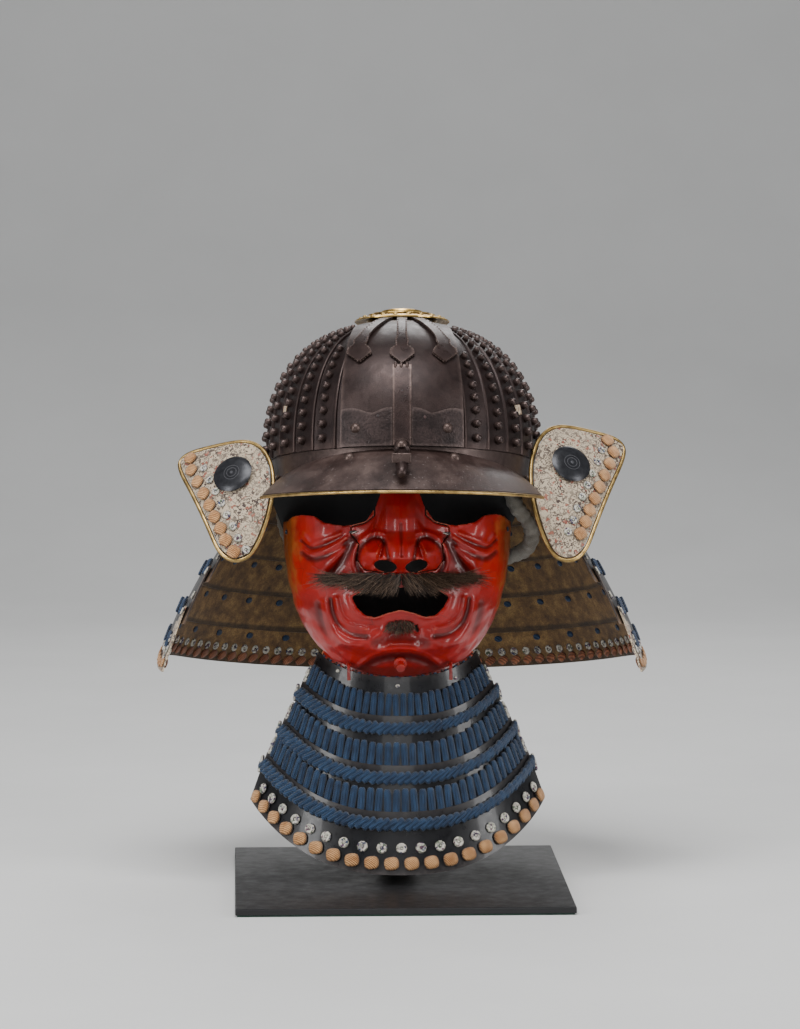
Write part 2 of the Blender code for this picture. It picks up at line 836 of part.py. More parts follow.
# Columns: share inner to outer, share bottom to top, then the place sideways from the inner
# corner, how far back and how high, each as a share of the width, width and height.
TURN_TABLE = (
    (0.0, 0.0, 0.19, -0.10, 0.07),
    (0.5, 0.0, 0.39, -0.12, 0.00),
    (1.0, 0.0, 0.59, -0.04, 0.07),
    (0.0, 0.5, 0.00, 0.04, 0.59),
    (0.5, 0.5, 0.46, 0.06, 0.50),
    (1.0, 0.5, 0.87, 0.28, 0.47),
    (0.0, 1.0, 0.24, 0.42, 0.92),
    (0.5, 1.0, 0.70, 0.52, 0.87),
    (1.0, 1.0, 1.15, 0.72, 0.80),
)


def turn_surface(across, up):
    """A point of the turn-back, as shares, from its nine table points."""

    def weights(t):
        return ((1 - t) * (1 - 2 * t), 4 * t * (1 - t), t * (2 * t - 1))

    wide, tall = weights(across), weights(up)
    total = [0.0, 0.0, 0.0]
    for row in range(3):
        for column in range(3):
            share = tall[row] * wide[column]
            for k in range(3):
                total[k] += share * TURN_TABLE[row * 3 + column][2 + k]
    return total


def turn_corner():
    """Where the inner corner of the right turn-back stands: beside the tip of the first lame."""
    tip = neck_point(math.radians(NECK_FRONT_DEG), 0.10, NECK_WALL)
    return Vector((tip.x - TURN_TUCK, tip.y - TURN_FORWARD, tip.z - TURN_HEIGHT * TURN_DROP_SHARE))


def rounded(across, up):
    """Pulls the corners of a unit square in to a round."""
    a, b = abs(across - 0.5) * 2.0, abs(up - 0.5) * 2.0
    far = max(a, b)
    if far < 1e-9:
        return across, up
    reach = far / (a ** 9 + b ** 9) ** (1.0 / 9.0)
    return 0.5 + (across - 0.5) * reach, 0.5 + (up - 0.5) * reach


def turn_place(side, across, up):
    """A point of a turn-back's face. The right one stands a little higher up its own slope."""
    corner = turn_corner()
    x, y, z = turn_surface(across, up)
    lift = TURN_LIFT_RIGHT * up if side > 0 else 0.0
    return Vector((
        side * (corner.x + TURN_WIDTH * x),
        corner.y + TURN_WIDTH * y + TURN_SLOPE * lift,
        corner.z + TURN_HEIGHT * z + lift,
    ))


def turn_grid(side, columns, rows):
    grid = []
    for r in range(rows + 1):
        shares = [rounded(c / columns, r / rows) for c in range(columns + 1)]
        grid.append([turn_place(side, across, up) for across, up in shares])
    return grid


def build_turn_back(frame, side, name):
    """A leather-faced plate turned out from the neck guard, with a gilt rim and a turned boss."""
    columns = rows = TURN_STEPS
    face = turn_grid(side, columns, rows)
    normals = sheet_normals(face)
    half = TURN_STEPS // 2
    sense = -1.0 if normals[half][half].y > 0 else 1.0
    back = [
        [p - n * (sense * TURN_THICKNESS) for p, n in zip(points, line)]
        for points, line in zip(face, normals)
    ]
    add_object(name, wall_between(name, face, back), "printed_leather", frame)
    edge = [(0, c) for c in range(columns)]
    edge += [(r, columns) for r in range(rows)]
    edge += [(rows, c) for c in range(columns, 0, -1)]
    edge += [(r, 0) for r in range(rows, 0, -1)]
    middle = 0.5 * (face[half][half] + back[half][half])
    path = []
    for i, (r, c) in enumerate(edge):
        here = 0.5 * (face[r][c] + back[r][c])
        normal = normals[r][c]
        r0, c0 = edge[i - 1]
        r1, c1 = edge[(i + 1) % len(edge)]
        along = (face[r1][c1] - face[r0][c0]).normalized()
        out = along.cross(normal).normalized()
        if out.dot(here - middle) < 0:
            out = -out
        path.append(here + out * (TURN_RIM_RADIUS + 1.6 * GAP))
    rim = f"{name}_rim"
    tube = swept_tube(rim, path, [TURN_RIM_RADIUS] * len(path), 6, closed=True)
    add_object(rim, tube, "gilt", frame)
    place = turn_place(side, 0.42, 0.66)
    normal = normals[half + 1][half] * sense
    boss = add_object(
        f"{name}_boss", dome(f"{name}_boss", TURN_BOSS_RADIUS, TURN_BOSS_HEIGHT, 18, 3), "dark_iron", frame
    )
    boss.location = place + normal * (TURN_RIM_RADIUS * 0.5)
    boss.rotation_mode = "QUATERNION"
    boss.rotation_quaternion = normal.to_track_quat("Z", "Y")


# Face mask

# Columns: height as a share of the mask's, half width and depth as shares of the mask's.
MASK_SECTIONS = (
    (0.00, 0.62, 0.655),
    (0.12, 0.71, 0.86),
    (0.23, 0.78, 1.02),
    (0.33, 0.85, 0.96),
    (0.45, 0.91, 1.00),
    (0.62, 0.96, 1.00),
    (0.80, 0.99, 0.96),
    (1.00, 1.00, 0.90),
    (1.30, 1.00, 0.80),
)

# Columns: turn from the front as a share of a right angle, then the lower and the upper edge as
# shares of the mask's height.
MASK_EDGES = (
    (0.000, 0.00, 1.29),
    (0.080, 0.00, 1.29),
    (0.130, 0.00, 1.12),
    (0.200, 0.01, 1.02),
    (0.300, 0.02, 0.99),
    (0.420, 0.05, 1.00),
    (0.560, 0.09, 1.05),
    (0.700, 0.14, 1.04),
    (0.850, 0.23, 0.99),
    (1.000, 0.37, 0.96),
)

# Columns: sideways as a share of half the mask, height as a share of its height, how wide and
# tall the swelling is as shares of half the mask, and how far it stands out as a share of the nose.
MASK_SWELLS = (
    (0.000, 1.12, 0.12, 0.22, 0.40),
    (0.000, 0.93, 0.15, 0.20, 0.42),
    (0.070, 0.81, 0.13, 0.12, 0.46),
    (0.240, 0.84, 0.105, 0.13, 0.66),
    (0.640, 0.76, 0.16, 0.12, 0.26),
    (0.720, 0.93, 0.16, 0.06, 0.16),
    (0.500, 0.64, 0.10, 0.20, -0.22),
    (0.340, 0.30, 0.20, 0.09, 0.20),
    (0.560, 0.36, 0.09, 0.18, 0.16),
    (0.000, 0.30, 0.30, 0.08, -0.10),
    (0.000, 0.24, 0.32, 0.05, 0.16),
)


def mask_relief(x, z):
    """How far the mask's swellings carry a point outwards. Each is doubled on the other side."""
    half = 0.5 * MASK_WIDTH
    total = 0.0
    for across, up, wide, tall, proud in MASK_SWELLS:
        rise = ((z - MASK_CHIN_Z - up * MASK_HEIGHT) / (tall * half)) ** 2
        sides = (across, -across) if across else (0.0,)
        for place in sides:
            total += proud * NOSE_REACH * math.exp(-rise - ((x - place * half) / (wide * half)) ** 2)
    return total


def mask_back_y():
    return BOARD_Y - 0.5 * BOARD_THICKNESS - SEAT


def mask_point(turn_share, climb, wall=0.0, relief=1.0):
    """A point of the mask: turn_share from -1 at one ear to 1, climb from edge to edge."""
    low, high = from_table(MASK_EDGES, abs(turn_share))
    up = blend(low, high, climb)
    wide, deep = from_table(MASK_SECTIONS, up)
    z = MASK_CHIN_Z + MASK_HEIGHT * up
    turn = 0.5 * math.pi * turn_share
    x = (0.5 * MASK_WIDTH * wide - wall) * math.sin(turn)
    front = max(0.0, math.cos(turn)) ** 0.8
    proud = mask_relief(x, z)
    proud *= relief if proud > 0.0 else 1.0
    return Vector((x, mask_back_y() - (MASK_DEPTH * deep - wall + proud) * front, z))


def mask_grid(wall, relief):
    grid = []
    for r in range(MASK_ROWS + 1):
        climb = r / MASK_ROWS
        line = []
        for c in range(MASK_COLUMNS + 1):
            share = 2.0 * c / MASK_COLUMNS - 1.0
            closer = math.copysign(abs(share) ** MASK_CROWDING, share)
            line.append(mask_point(closer, climb, wall, relief))
        grid.append(line)
    return grid


MOUTH_OUTLINE = (
    (-0.50, 0.58),
    (-0.44, 0.26),
    (-0.36, 0.04),
    (-0.26, 0.00),
    (-0.13, 0.14),
    (0.00, 0.24),
    (0.13, 0.14),
    (0.26, 0.00),
    (0.36, 0.04),
    (0.44, 0.26),
    (0.50, 0.58),
    (0.38, 0.80),
    (0.20, 1.00),
    (0.00, 0.90),
    (-0.20, 1.00),
    (-0.38, 0.80),
)
MOUTH_FOOT = 0.415
NOSTRIL_PLACE = (0.132, 0.748)
NOSTRIL_SHARES = (0.197, 0.083)


# The nose plate's outline: sideways as a share of half the mask, up as a share of its height.
# It is doubled on the other side.
NOSE_OUTLINE = (
    (0.000, 1.420),
    (0.250, 1.420),
    (0.215, 1.060),
    (0.300, 1.010),
    (0.420, 0.985),
    (0.420, 0.935),
    (0.355, 0.880),
    (0.375, 0.780),
    (0.310, 0.715),
    (0.130, 0.700),
    (0.000, 0.690),
)


def nose_outline():
    half = [
        (0.5 * MASK_WIDTH * across, MASK_CHIN_Z + MASK_HEIGHT * up) for across, up in NOSE_OUTLINE
    ]
    return half + [(-x, z) for x, z in reversed(half[1:-1])]


def mouth_outline():
    foot = MASK_CHIN_Z + MOUTH_FOOT * MASK_HEIGHT
    return [(MOUTH_WIDTH * x, foot + MOUTH_HEIGHT * z) for x, z in MOUTH_OUTLINE]


def nostril_outline(side):
    middle_x = side * NOSTRIL_PLACE[0] * 0.5 * MASK_WIDTH
    middle_z = MASK_CHIN_Z + NOSTRIL_PLACE[1] * MASK_HEIGHT
    half_width = NOSTRIL_SHARES[0] * 0.25 * MASK_WIDTH
    half_height = NOSTRIL_SHARES[1] * 0.5 * MASK_HEIGHT
    hole = []
    for i in range(12):
        turn = math.tau * i / 12
        lean = 0.25 * side * math.cos(turn)
        hole.append((
            middle_x + half_width * math.cos(turn),
            middle_z + half_height * (math.sin(turn) + lean),
        ))
    return hole


def mask_cutter(name, outline):
    front, back = mask_back_y() - 2.0 * MASK_DEPTH, mask_back_y() - 0.35 * MASK_DEPTH
    cutter = bpy.data.objects.new(name, extruded(name, outline, front, back))
    bpy.context.scene.collection.objects.link(cutter)
    return cutter


def build_mask():
    """The mask's shell, and the nose plate that fills the opening cut for it."""
    shell = wall_between("face_mask", mask_grid(0.0, 1.0), mask_grid(MASK_WALL, MASK_HOLLOW))
    mask = add_object("face_mask", shell, "red_lacquer", smooth_deg=50.0)
    nose = add_object("nose_plate", shell.copy(), "red_lacquer", smooth_deg=50.0)
    cut_with(mask, mask_cutter("nose_cutter", nose_outline()), "DIFFERENCE")
    cut_with(mask, mask_cutter("mouth_cutter", mouth_outline()), "DIFFERENCE")
    cut_with(nose, mask_cutter("nose_blank", inset_outline(nose_outline(), GAP)), "INTERSECT")
    for side, name in ((-1, "nostril_cutter_left"), (1, "nostril_cutter_right")):
        cut_with(nose, mask_cutter(name, nostril_outline(side)), "DIFFERENCE")


def mask_front_y(x, z):
    """The mask's outside surface in front of a point, found by closing in on the turn."""
    up = (z - MASK_CHIN_Z) / MASK_HEIGHT
    wide, deep = from_table(MASK_SECTIONS, up)
    sine = max(-1.0, min(1.0, x / (0.5 * MASK_WIDTH * wide)))
    front = math.sqrt(max(0.0, 1.0 - sine * sine)) ** 0.8
    return mask_back_y() - MASK_DEPTH * deep * front - mask_relief(x, z) * front


def build_moustache():
    """A bar of hair over the upper lip, in locks that part at the middle and thin out to the ends."""
    columns, sides = 24, 8
    middle = MASK_CHIN_Z + 0.655 * MASK_HEIGHT
    rings = []
    for c in range(columns + 1):
        share = 2.0 * c / columns - 1.0
        x = 0.5 * MOUSTACHE_WIDTH * share
        droop = 0.35 * MOUSTACHE_HEIGHT * abs(share) ** 1.5
        taper = (1.0 - abs(share) ** 3) ** 0.5 * 0.85 + 0.15
        lock = 1.0 - 0.16 * (c % 2)
        part = 1.0 - 0.18 * math.exp(-((share / 0.06) ** 2))
        tall = 0.5 * MOUSTACHE_HEIGHT * taper * lock * part
        deep = 0.5 * MOUSTACHE_DEPTH * taper * lock
        z = middle - droop
        y = min(mask_front_y(x, z), mask_front_y(x, z + tall), mask_front_y(x, z - tall))
        y -= deep + 3.0 * SEAT
        ring = []
        for k in range(sides):
            turn = math.tau * k / sides
            ring.append(Vector((x, y - deep * math.cos(turn), z + tall * math.sin(turn))))
        rings.append(ring)
    points = [p for ring in rings for p in ring]
    faces = []
    for i in range(columns):
        for k in range(sides):
            m = (k + 1) % sides
            faces.append((i * sides + k, i * sides + m, (i + 1) * sides + m, (i + 1) * sides + k))
    faces.append(tuple(range(sides)))
    faces.append(tuple(columns * sides + k for k in range(sides)))
    add_object("moustache", mesh_of("moustache", points, faces), "brown_hair", smooth_deg=60.0)


def build_on_mask(name, x, z, mesh, finish, lift, tilt_deg=0.0):
    """Stands a piece on the mask's front, its +Z axis pointing out to the front."""
    obj = add_object(name, mesh, finish)
    obj.location = (x, mask_front_y(x, z) - lift, z)
    obj.rotation_euler = (math.radians(90.0 + tilt_deg), 0.0, 0.0)


def build_tuft():
    """A low patch of hair under the lower lip, thick in the middle and thin at its edge."""
    steps = 6
    middle = MASK_CHIN_Z + 0.355 * MASK_HEIGHT
    outer, inner = [], []
    for r in range(steps + 1):
        line, inside = [], []
        for c in range(steps + 1):
            a, b = 2.0 * c / steps - 1.0, 2.0 * r / steps - 1.0
            across = a * math.sqrt(1.0 - 0.5 * b * b)
            up = b * math.sqrt(1.0 - 0.5 * a * a)
            x, z = 0.5 * TUFT_WIDTH * across, middle + 0.5 * TUFT_HEIGHT * up
            y = mask_front_y(x, z) - 8.0 * SEAT
            full = max(0.0, 1.0 - across * across - up * up) ** 0.5
            line.append(Vector((x, y - TUFT_DEPTH * blend(0.2, 1.0, full), z)))
            inside.append(Vector((x, y, z)))
        outer.append(line)
        inner.append(inside)
    add_object("chin_tuft", wall_between("chin_tuft", outer, inner), "brown_hair", smooth_deg=60.0)


def build_mask_fittings():
    build_tuft()
    drain_z = MASK_CHIN_Z + 0.11 * MASK_HEIGHT
    path = [Vector((0.0, 0.0, DRAIN_LENGTH * s)) for s in (0.0, 0.25, 0.3, 1.0)]
    radii = [DRAIN_RADIUS * r for r in (1.5, 1.5, 1.0, 1.0)]
    drain = swept_tube("chin_drain", path, radii, 12)
    build_on_mask("chin_drain", 0.0, drain_z, drain, "red_lacquer", 6.0 * SEAT, 20.0)
    for side, name in ((-1, "chin_hook_left"), (1, "chin_hook_right")):
        x = side * 0.44 * 0.5 * MASK_WIDTH
        z = MASK_CHIN_Z + 0.085 * MASK_HEIGHT
        path = [
            Vector((0.0, 0.0, 0.0)),
            Vector((0.0, 0.0, 0.35 * HOOK_LENGTH)),
            Vector((0.0, -0.20 * HOOK_LENGTH, 0.55 * HOOK_LENGTH)),
            Vector((0.0, -1.0 * HOOK_LENGTH, 0.60 * HOOK_LENGTH)),
        ]
        radii = [HOOK_RADIUS * r for r in (1.6, 1.0, 1.0, 1.3)]
        build_on_mask(name, x, z, swept_tube(name, path, radii, 8), "red_lacquer", 8.0 * SEAT)


# Throat guard

THROAT_HEIGHT = MASK_CHIN_Z + THROAT_HEADROOM - THROAT_BOTTOM_Z


# The lips of the lames, as shares of the throat guard's height
THROAT_LIPS = (0.0, 0.196, 0.446, 0.678, 1.0)


def throat_point(turn_share, drop, proud):
    """A point of the throat guard: turn_share from -1 to 1, drop from 0 at its top to 1."""
    turn = math.radians(THROAT_DEG) * turn_share
    reach = math.radians(THROAT_DEG)
    width = blend(THROAT_TOP_HALF_WIDTH, THROAT_FOOT_HALF_WIDTH, drop) / math.sin(reach)
    front = THROAT_FRONT_Y - THROAT_FOOT_REACH * drop
    rise = blend(THROAT_TOP_RISE, THROAT_FOOT_RISE, drop) * abs(math.sin(turn) / math.sin(reach)) ** 2.7
    depth = blend(THROAT_TOP_DEPTH, THROAT_FOOT_DEPTH, drop)
    sink = (1.0 - math.cos(turn)) / (1.0 - math.cos(reach))
    return Vector((
        (width + proud) * math.sin(turn),
        front + depth * sink - proud * math.cos(turn),
        THROAT_BOTTOM_Z + THROAT_HEIGHT * (1.0 - drop) + rise,
    ))


def throat_band(name, top, foot, low, high, columns, finish, wave=None, rows=1):
    """A band round the throat between two drops and between two heights over the first lame."""
    outer, inner = [], []
    for r in range(rows + 1):
        share = r / rows
        drop = blend(foot, top, share)
        line, inside = [], []
        for c in range(columns + 1):
            place = 2.0 * c / columns - 1.0
            swell = wave(c, share) if wave else 1.0
            line.append(throat_point(place, drop, blend(low, high, swell)))
            inside.append(throat_point(place, drop, low))
        outer.append(line)
        inner.append(inside)
    add_object(name, wall_between(name, outer, inner), finish)


def build_throat_guard():
    """Four lacquered lames, each lower one outside, with upright laces and a braid at each lip."""
    for index in range(4):
        top = THROAT_LIPS[index]
        foot = THROAT_LIPS[index + 1]
        if index < 3:
            foot += THROAT_OVERLAP / THROAT_HEIGHT
        low = index * THROAT_LIFT
        name = f"throat_lame_{index + 1}"
        throat_band(name, top, foot, low, low + THROAT_WALL, THROAT_STEPS, "black_lacquer")
    lace_wave = (0.35, 1.0)
    for index in range(1, 4):
        lip = THROAT_LIPS[index]
        below = (index - 1) * THROAT_LIFT + THROAT_WALL + GAP
        throat_band(
            f"throat_laces_{index}",
            lip - LACE_HEIGHT / THROAT_HEIGHT,
            lip + LACE_TUCK / THROAT_HEIGHT,
            below,
            below + LACE_THICKNESS,
            2 * LACE_COUNT,
            "blue_silk",
            lambda c, share: lace_wave[c % 2],
        )
        on_lame = index * THROAT_LIFT + THROAT_WALL + GAP
        throat_band(
            f"throat_braid_{index}",
            lip + BRAID_DROP / THROAT_HEIGHT,
            lip + (BRAID_DROP + BRAID_HEIGHT) / THROAT_HEIGHT,
            on_lame,
            on_lame + BRAID_THICKNESS,
            2 * BRAID_COUNT,
            "blue_silk",
            lambda c, share: (0.55, 1.0)[(c + round(share)) % 2],
        )


# Chin cord

def build_cord():
    """The cord that ties the helmet on: from the band on the right round to the band on the left."""
    curve = bpy.data.curves.new("chin_cord", "CURVE")
    curve.dimensions = "3D"
    curve.bevel_depth = 0.5 * CORD_DIAMETER
    curve.bevel_resolution = 2
    curve.use_fill_caps = True
    curve.render_resolution_u = 0
    route = smooth_route(CORD_ROUTE, CORD_STEPS)
    spline = curve.splines.new("POLY")
    spline.points.add(len(route) - 1)
    for point, place in zip(spline.points, route):
        point.co = (*place, 1.0)
    curve.materials.append(finish_of("grey_cord"))
    cord = bpy.data.objects.new("chin_cord", curve)
    bpy.context.scene.collection.objects.link(cord)


# Stand

def build_stand():
    felt = extruded(
        "base_felt",
        [
            (-0.5 * BASE_WIDTH + FELT_INSET, 0.0),
            (0.5 * BASE_WIDTH - FELT_INSET, 0.0),
            (0.5 * BASE_WIDTH - FELT_INSET, FELT_THICKNESS),
            (-0.5 * BASE_WIDTH + FELT_INSET, FELT_THICKNESS),
        ],
        -0.5 * BASE_DEPTH + FELT_INSET,
        0.5 * BASE_DEPTH - FELT_INSET,
    )
    add_object("base_felt", felt, "green_felt")
    low = FELT_THICKNESS + GAP
    high = low + BASE_THICKNESS
    plate = extruded(
        "base_plate",
        [
            (-0.5 * BASE_WIDTH, low),
            (0.5 * BASE_WIDTH, low),
            (0.5 * BASE_WIDTH, high),
            (-0.5 * BASE_WIDTH, high),
        ],
        -0.5 * BASE_DEPTH,
        0.5 * BASE_DEPTH,
    )
    base = add_object("base_plate", plate, "black_paint")
    bevel = base.modifiers.new("edges", "BEVEL")
    bevel.width = BASE_BEVEL
    bevel.segments = 2
    build_post(high + GAP)


def helmet_core(frame):
    """The space inside the bowl, less a clearance, carried down past the base: a cutter."""
    top = hole_climb(0.5 * CROWN_HOLE_RADIUS)
    loops = []
    steps = RIB_COUNT
    inset = BAND_INSET + BAND_WALL + 2.0 * SEAT
    for climb in [top * r / BOWL_ROWS for r in range(BOWL_ROWS + 1)]:
        loops.append([bowl_point(math.tau * (i + 0.5) / steps, climb, -inset) for i in range(steps)])
    foot = [Vector((p.x, p.y, -HELMET_Z * 1.3)) for p in loops[0]]
    loops.insert(0, foot)
    points = [p for loop in loops for p in loop]
    faces = []
    for i in range(len(loops) - 1):
        for k in range(steps):
            m = (k + 1) % steps
            faces.append((i * steps + k, i * steps + m, (i + 1) * steps + m, (i + 1) * steps + k))
    faces.append(tuple(range(steps)))
    faces.append(tuple((len(loops) - 1) * steps + k for k in range(steps)))
    core = bpy.data.objects.new("helmet_core", mesh_of("helmet_core", points, faces))
    bpy.context.scene.collection.objects.link(core)
    core.parent = frame
    return core


def build_post(foot):
    """The post and the upright board on it, in one piece, cut to the inside of the bowl."""
    ear_z = MASK_CHIN_Z + 0.90 * MASK_HEIGHT
    rim_z = HELMET_Z - RIM_BOARD_DROP
    right = [
        (0.5 * POST_WIDTH, foot),
        (0.5 * POST_WIDTH, POST_TOP),
        (0.5 * JAW_BOARD_WIDTH, POST_TOP + POST_SHOULDER),
        (0.5 * blend(JAW_BOARD_WIDTH, EAR_BOARD_WIDTH, 0.62), blend(POST_TOP, ear_z, 0.52)),
        (0.5 * EAR_BOARD_WIDTH, ear_z),
        (0.5 * RIM_BOARD_WIDTH, rim_z),
        (0.5 * RIM_BOARD_WIDTH, HELMET_Z + BOWL_HEIGHT * 1.2),
    ]
    outline = right + [(-x, z) for x, z in reversed(right)]
    low, high = BOARD_Y - 0.5 * BOARD_THICKNESS, BOARD_Y + 0.5 * BOARD_THICKNESS
    post = add_object("stand_post", extruded("stand_post", outline, low, high), "black_paint")
    return post


def main():
    clear_scene()
    place = (HELMET_X, HELMET_Y, HELMET_Z)
    helmet = add_frame("helmet_frame", place, HELMET_LEAN_DEG, HELMET_TURN_DEG)
    build_bowl(helmet)
    build_band(helmet)
    build_front_plate(helmet)
    build_brow_plate(helmet, -1, "brow_plate_left")
    build_brow_plate(helmet, 1, "brow_plate_right")
    build_crest_bar(helmet)
    build_visor(helmet)
    build_crest_peg(helmet)
    build_finial(helmet)
    build_blade(helmet, "blade_centre", 0.0, CENTRE_BLADE_DROP)
    build_blade(helmet, "blade_left", -SIDE_BLADE_SPREAD, SIDE_BLADE_DROP)
    build_blade(helmet, "blade_right", SIDE_BLADE_SPREAD, SIDE_BLADE_DROP)
    build_neck_lames(helmet)
    build_turn_back(helmet, -1, "turn_back_left")
    build_turn_back(helmet, 1, "turn_back_right")
    build_mask()
    build_moustache()
    build_mask_fittings()
    build_throat_guard()
    build_cord()
    build_stand()
    cut_with(bpy.data.objects["stand_post"], helmet_core(helmet), "INTERSECT")


main()
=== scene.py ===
"""The dressed samurai helmet: finishes, lacing, knots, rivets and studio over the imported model."""

import math
import random

import bmesh
import bpy
import numpy as np
from mathutils import Matrix, Vector
from mathutils.bvhtree import BVHTree


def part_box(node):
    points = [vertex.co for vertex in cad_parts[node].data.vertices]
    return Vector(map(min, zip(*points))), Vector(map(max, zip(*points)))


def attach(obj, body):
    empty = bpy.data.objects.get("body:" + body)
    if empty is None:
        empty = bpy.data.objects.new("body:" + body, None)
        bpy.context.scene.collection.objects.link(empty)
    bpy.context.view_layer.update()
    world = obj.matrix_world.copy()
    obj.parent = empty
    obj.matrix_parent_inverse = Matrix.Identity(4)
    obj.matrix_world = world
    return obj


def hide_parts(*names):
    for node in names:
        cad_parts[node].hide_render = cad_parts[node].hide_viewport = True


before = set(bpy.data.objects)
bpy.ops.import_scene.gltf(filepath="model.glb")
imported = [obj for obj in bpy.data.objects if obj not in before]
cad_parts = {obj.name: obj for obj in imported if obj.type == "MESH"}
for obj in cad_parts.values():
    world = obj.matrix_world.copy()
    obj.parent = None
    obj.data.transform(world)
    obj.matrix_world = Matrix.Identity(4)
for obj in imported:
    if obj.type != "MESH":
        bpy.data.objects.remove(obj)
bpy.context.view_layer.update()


# Studio: a pale paper sweep with soft boxes above and at the sides.
# The camera stands a little to the left of the helmet and above it, as for the photograph,
# and its long lens flattens the view.

def deselect_all():
    for obj in bpy.context.selected_objects:
        obj.select_set(False)


def mode(name):
    bpy.ops.object.mode_set(mode=name)


def put(tree, kind, sockets=None, **settings):
    """Adds a node with its settings, then fills its sockets with values or with other nodes' outputs."""
    made = tree.nodes.new(kind)
    for key, value in settings.items():
        setattr(made, key, value)
    for key, value in (sockets or {}).items():
        socket = made.inputs[key]
        if isinstance(value, bpy.types.NodeSocket):
            tree.links.new(value, socket)
        else:
            socket.default_value = value
    return made


def new_finish(name, **sockets):
    """A material with its shader's sockets set: returns the material, its tree and its shader."""
    material = bpy.data.materials.new(name)
    material.use_nodes = True
    tree = material.node_tree
    shader = tree.nodes["Principled BSDF"]
    for key, value in sockets.items():
        shader.inputs[key.replace("_", " ")].default_value = value
    return material, tree, shader


def ramp(tree, value, *stops):
    """Colours or greys along a value, each stop a place and a grey or a colour."""
    made = put(tree, "ShaderNodeValToRGB", {"Fac": value})
    line = made.color_ramp
    while len(line.elements) < len(stops):
        line.elements.new(0.5)
    for element, (place, tone) in zip(line.elements, stops):
        element.position = place
        element.color = (tone, tone, tone, 1.0) if isinstance(tone, float) else (*tone, 1.0)
    return made.outputs["Color"]


def object_place(tree):
    return put(tree, "ShaderNodeTexCoord").outputs["Object"]


def speckle(tree, scale, detail=3.0, roughness=0.6, vector=None):
    """Noise in object coordinates, with this many lumps to the metre."""
    vector = vector or object_place(tree)
    sockets = {"Vector": vector, "Scale": scale, "Detail": detail, "Roughness": roughness}
    return put(tree, "ShaderNodeTexNoise", sockets).outputs["Fac"]


def patchy(tree, scale, detail, low, high, start=0.3, end=0.7):
    """Two tones, or two values, in soft patches."""
    return ramp(tree, speckle(tree, scale, detail), (start, low), (end, high))


def feed(tree, shader, **sockets):
    for key, value in sockets.items():
        tree.links.new(value, shader.inputs[key.replace("_", " ")])


def pick(mesh, parts, wanted):
    """Opens the active mesh for editing with only the wanted edges or faces selected."""
    mode("EDIT")
    bpy.ops.mesh.select_all(action="DESELECT")
    mode("OBJECT")
    for part in getattr(mesh, parts):
        part.select = wanted(part)
    mode("EDIT")


paper, tree, shader = new_finish("pale_paper", Roughness=0.9)
feed(tree, shader, Base_Color=patchy(tree, 6.0, 3.0, (0.66, 0.66, 0.65), (0.69, 0.69, 0.68)))
deselect_all()
bpy.ops.mesh.primitive_plane_add(size=1.0)
sweep = bpy.context.object
sweep.name = "paper_sweep"
mesh = sweep.data
mesh.transform(Matrix.Translation((0, -1.0, 0)) @ Matrix.Diagonal((9.0, 8.0, 1.0, 1.0)))
pick(mesh, "edges", lambda edge: all(mesh.vertices[i].co.y > 0 for i in edge.vertices))
bpy.ops.mesh.extrude_region_move(TRANSFORM_OT_translate={"value": (0, 0, 4.5)})
mode("OBJECT")
corner = {v.index for v in mesh.vertices if v.co.y > 0 and abs(v.co.z) < 1e-4}
pick(mesh, "edges", lambda edge: corner.issuperset(edge.vertices))
bpy.ops.mesh.bevel(offset=1.2, segments=16)
mode("OBJECT")
bpy.ops.object.shade_smooth()
sweep.data.materials.append(paper)

bpy.ops.object.camera_add(
    location=(-0.1324, -3.4574, 0.64), rotation=(math.radians(84.43), 0.0, math.radians(-2.2))
)
camera = bpy.context.object
camera.data.lens = 150.4
camera.data.sensor_width = 36.0
camera.data.clip_end = 50.0
bpy.context.scene.camera = camera

# Columns: name, place, aimed at, width, height, watts.
SOFT_BOXES = (
    ("box_above", (-0.15, -0.55, 1.75), (0.0, -0.05, 0.30), 1.1, 0.8, 30.0),
    ("box_left", (-1.55, -1.05, 0.75), (0.0, 0.0, 0.30), 0.5, 1.2, 19.0),
    ("box_right", (1.60, -0.95, 0.70), (0.0, 0.0, 0.30), 0.5, 1.2, 17.0),
    ("box_front", (0.0, -2.9, 1.35), (0.0, 0.0, 0.25), 1.3, 0.7, 9.0),
    ("box_behind", (0.3, 1.6, 1.5), (0.0, 0.1, 0.30), 1.2, 0.7, 16.0),
)
for name, place, aim, width, height, watts in SOFT_BOXES:
    bpy.ops.object.light_add(type="AREA", location=place)
    light = bpy.context.object
    light.name = name
    light.rotation_euler = (Vector(aim) - Vector(place)).to_track_quat("-Z", "Y").to_euler()
    light.data.shape = "RECTANGLE"
    light.data.size = width
    light.data.size_y = height
    light.data.energy = watts
world = bpy.context.scene.world or bpy.data.worlds.new("studio_air")
bpy.context.scene.world = world
world.use_nodes = True
air = world.node_tree.nodes["Background"]
air.inputs["Color"].default_value = (0.86, 0.88, 0.92, 1.0)
air.inputs["Strength"].default_value = 0.26


# Chin cord: a limp roll of grey-white crepe silk, 13 mm thick, that ties the helmet on.
# It hangs from the waist band on the right, passes round behind the board of the stand,
# and comes back up to the band on the left.

def mixed(tree, share, low, high, way="MIX"):
    made = put(tree, "ShaderNodeMix", data_type="RGBA", blend_type=way)
    for index, value in ((0, share), (6, low), (7, high)):
        if isinstance(value, bpy.types.NodeSocket):
            tree.links.new(value, made.inputs[index])
        elif index:
            made.inputs[index].default_value = (*value, 1.0)
        else:
            made.inputs[index].default_value = value
    return made.outputs[2]


def shaded(tree, share, tone, value, *stops):
    """A tone darkened by a ramp along a value."""
    return mixed(tree, share, tone, ramp(tree, value, *stops), "MULTIPLY")


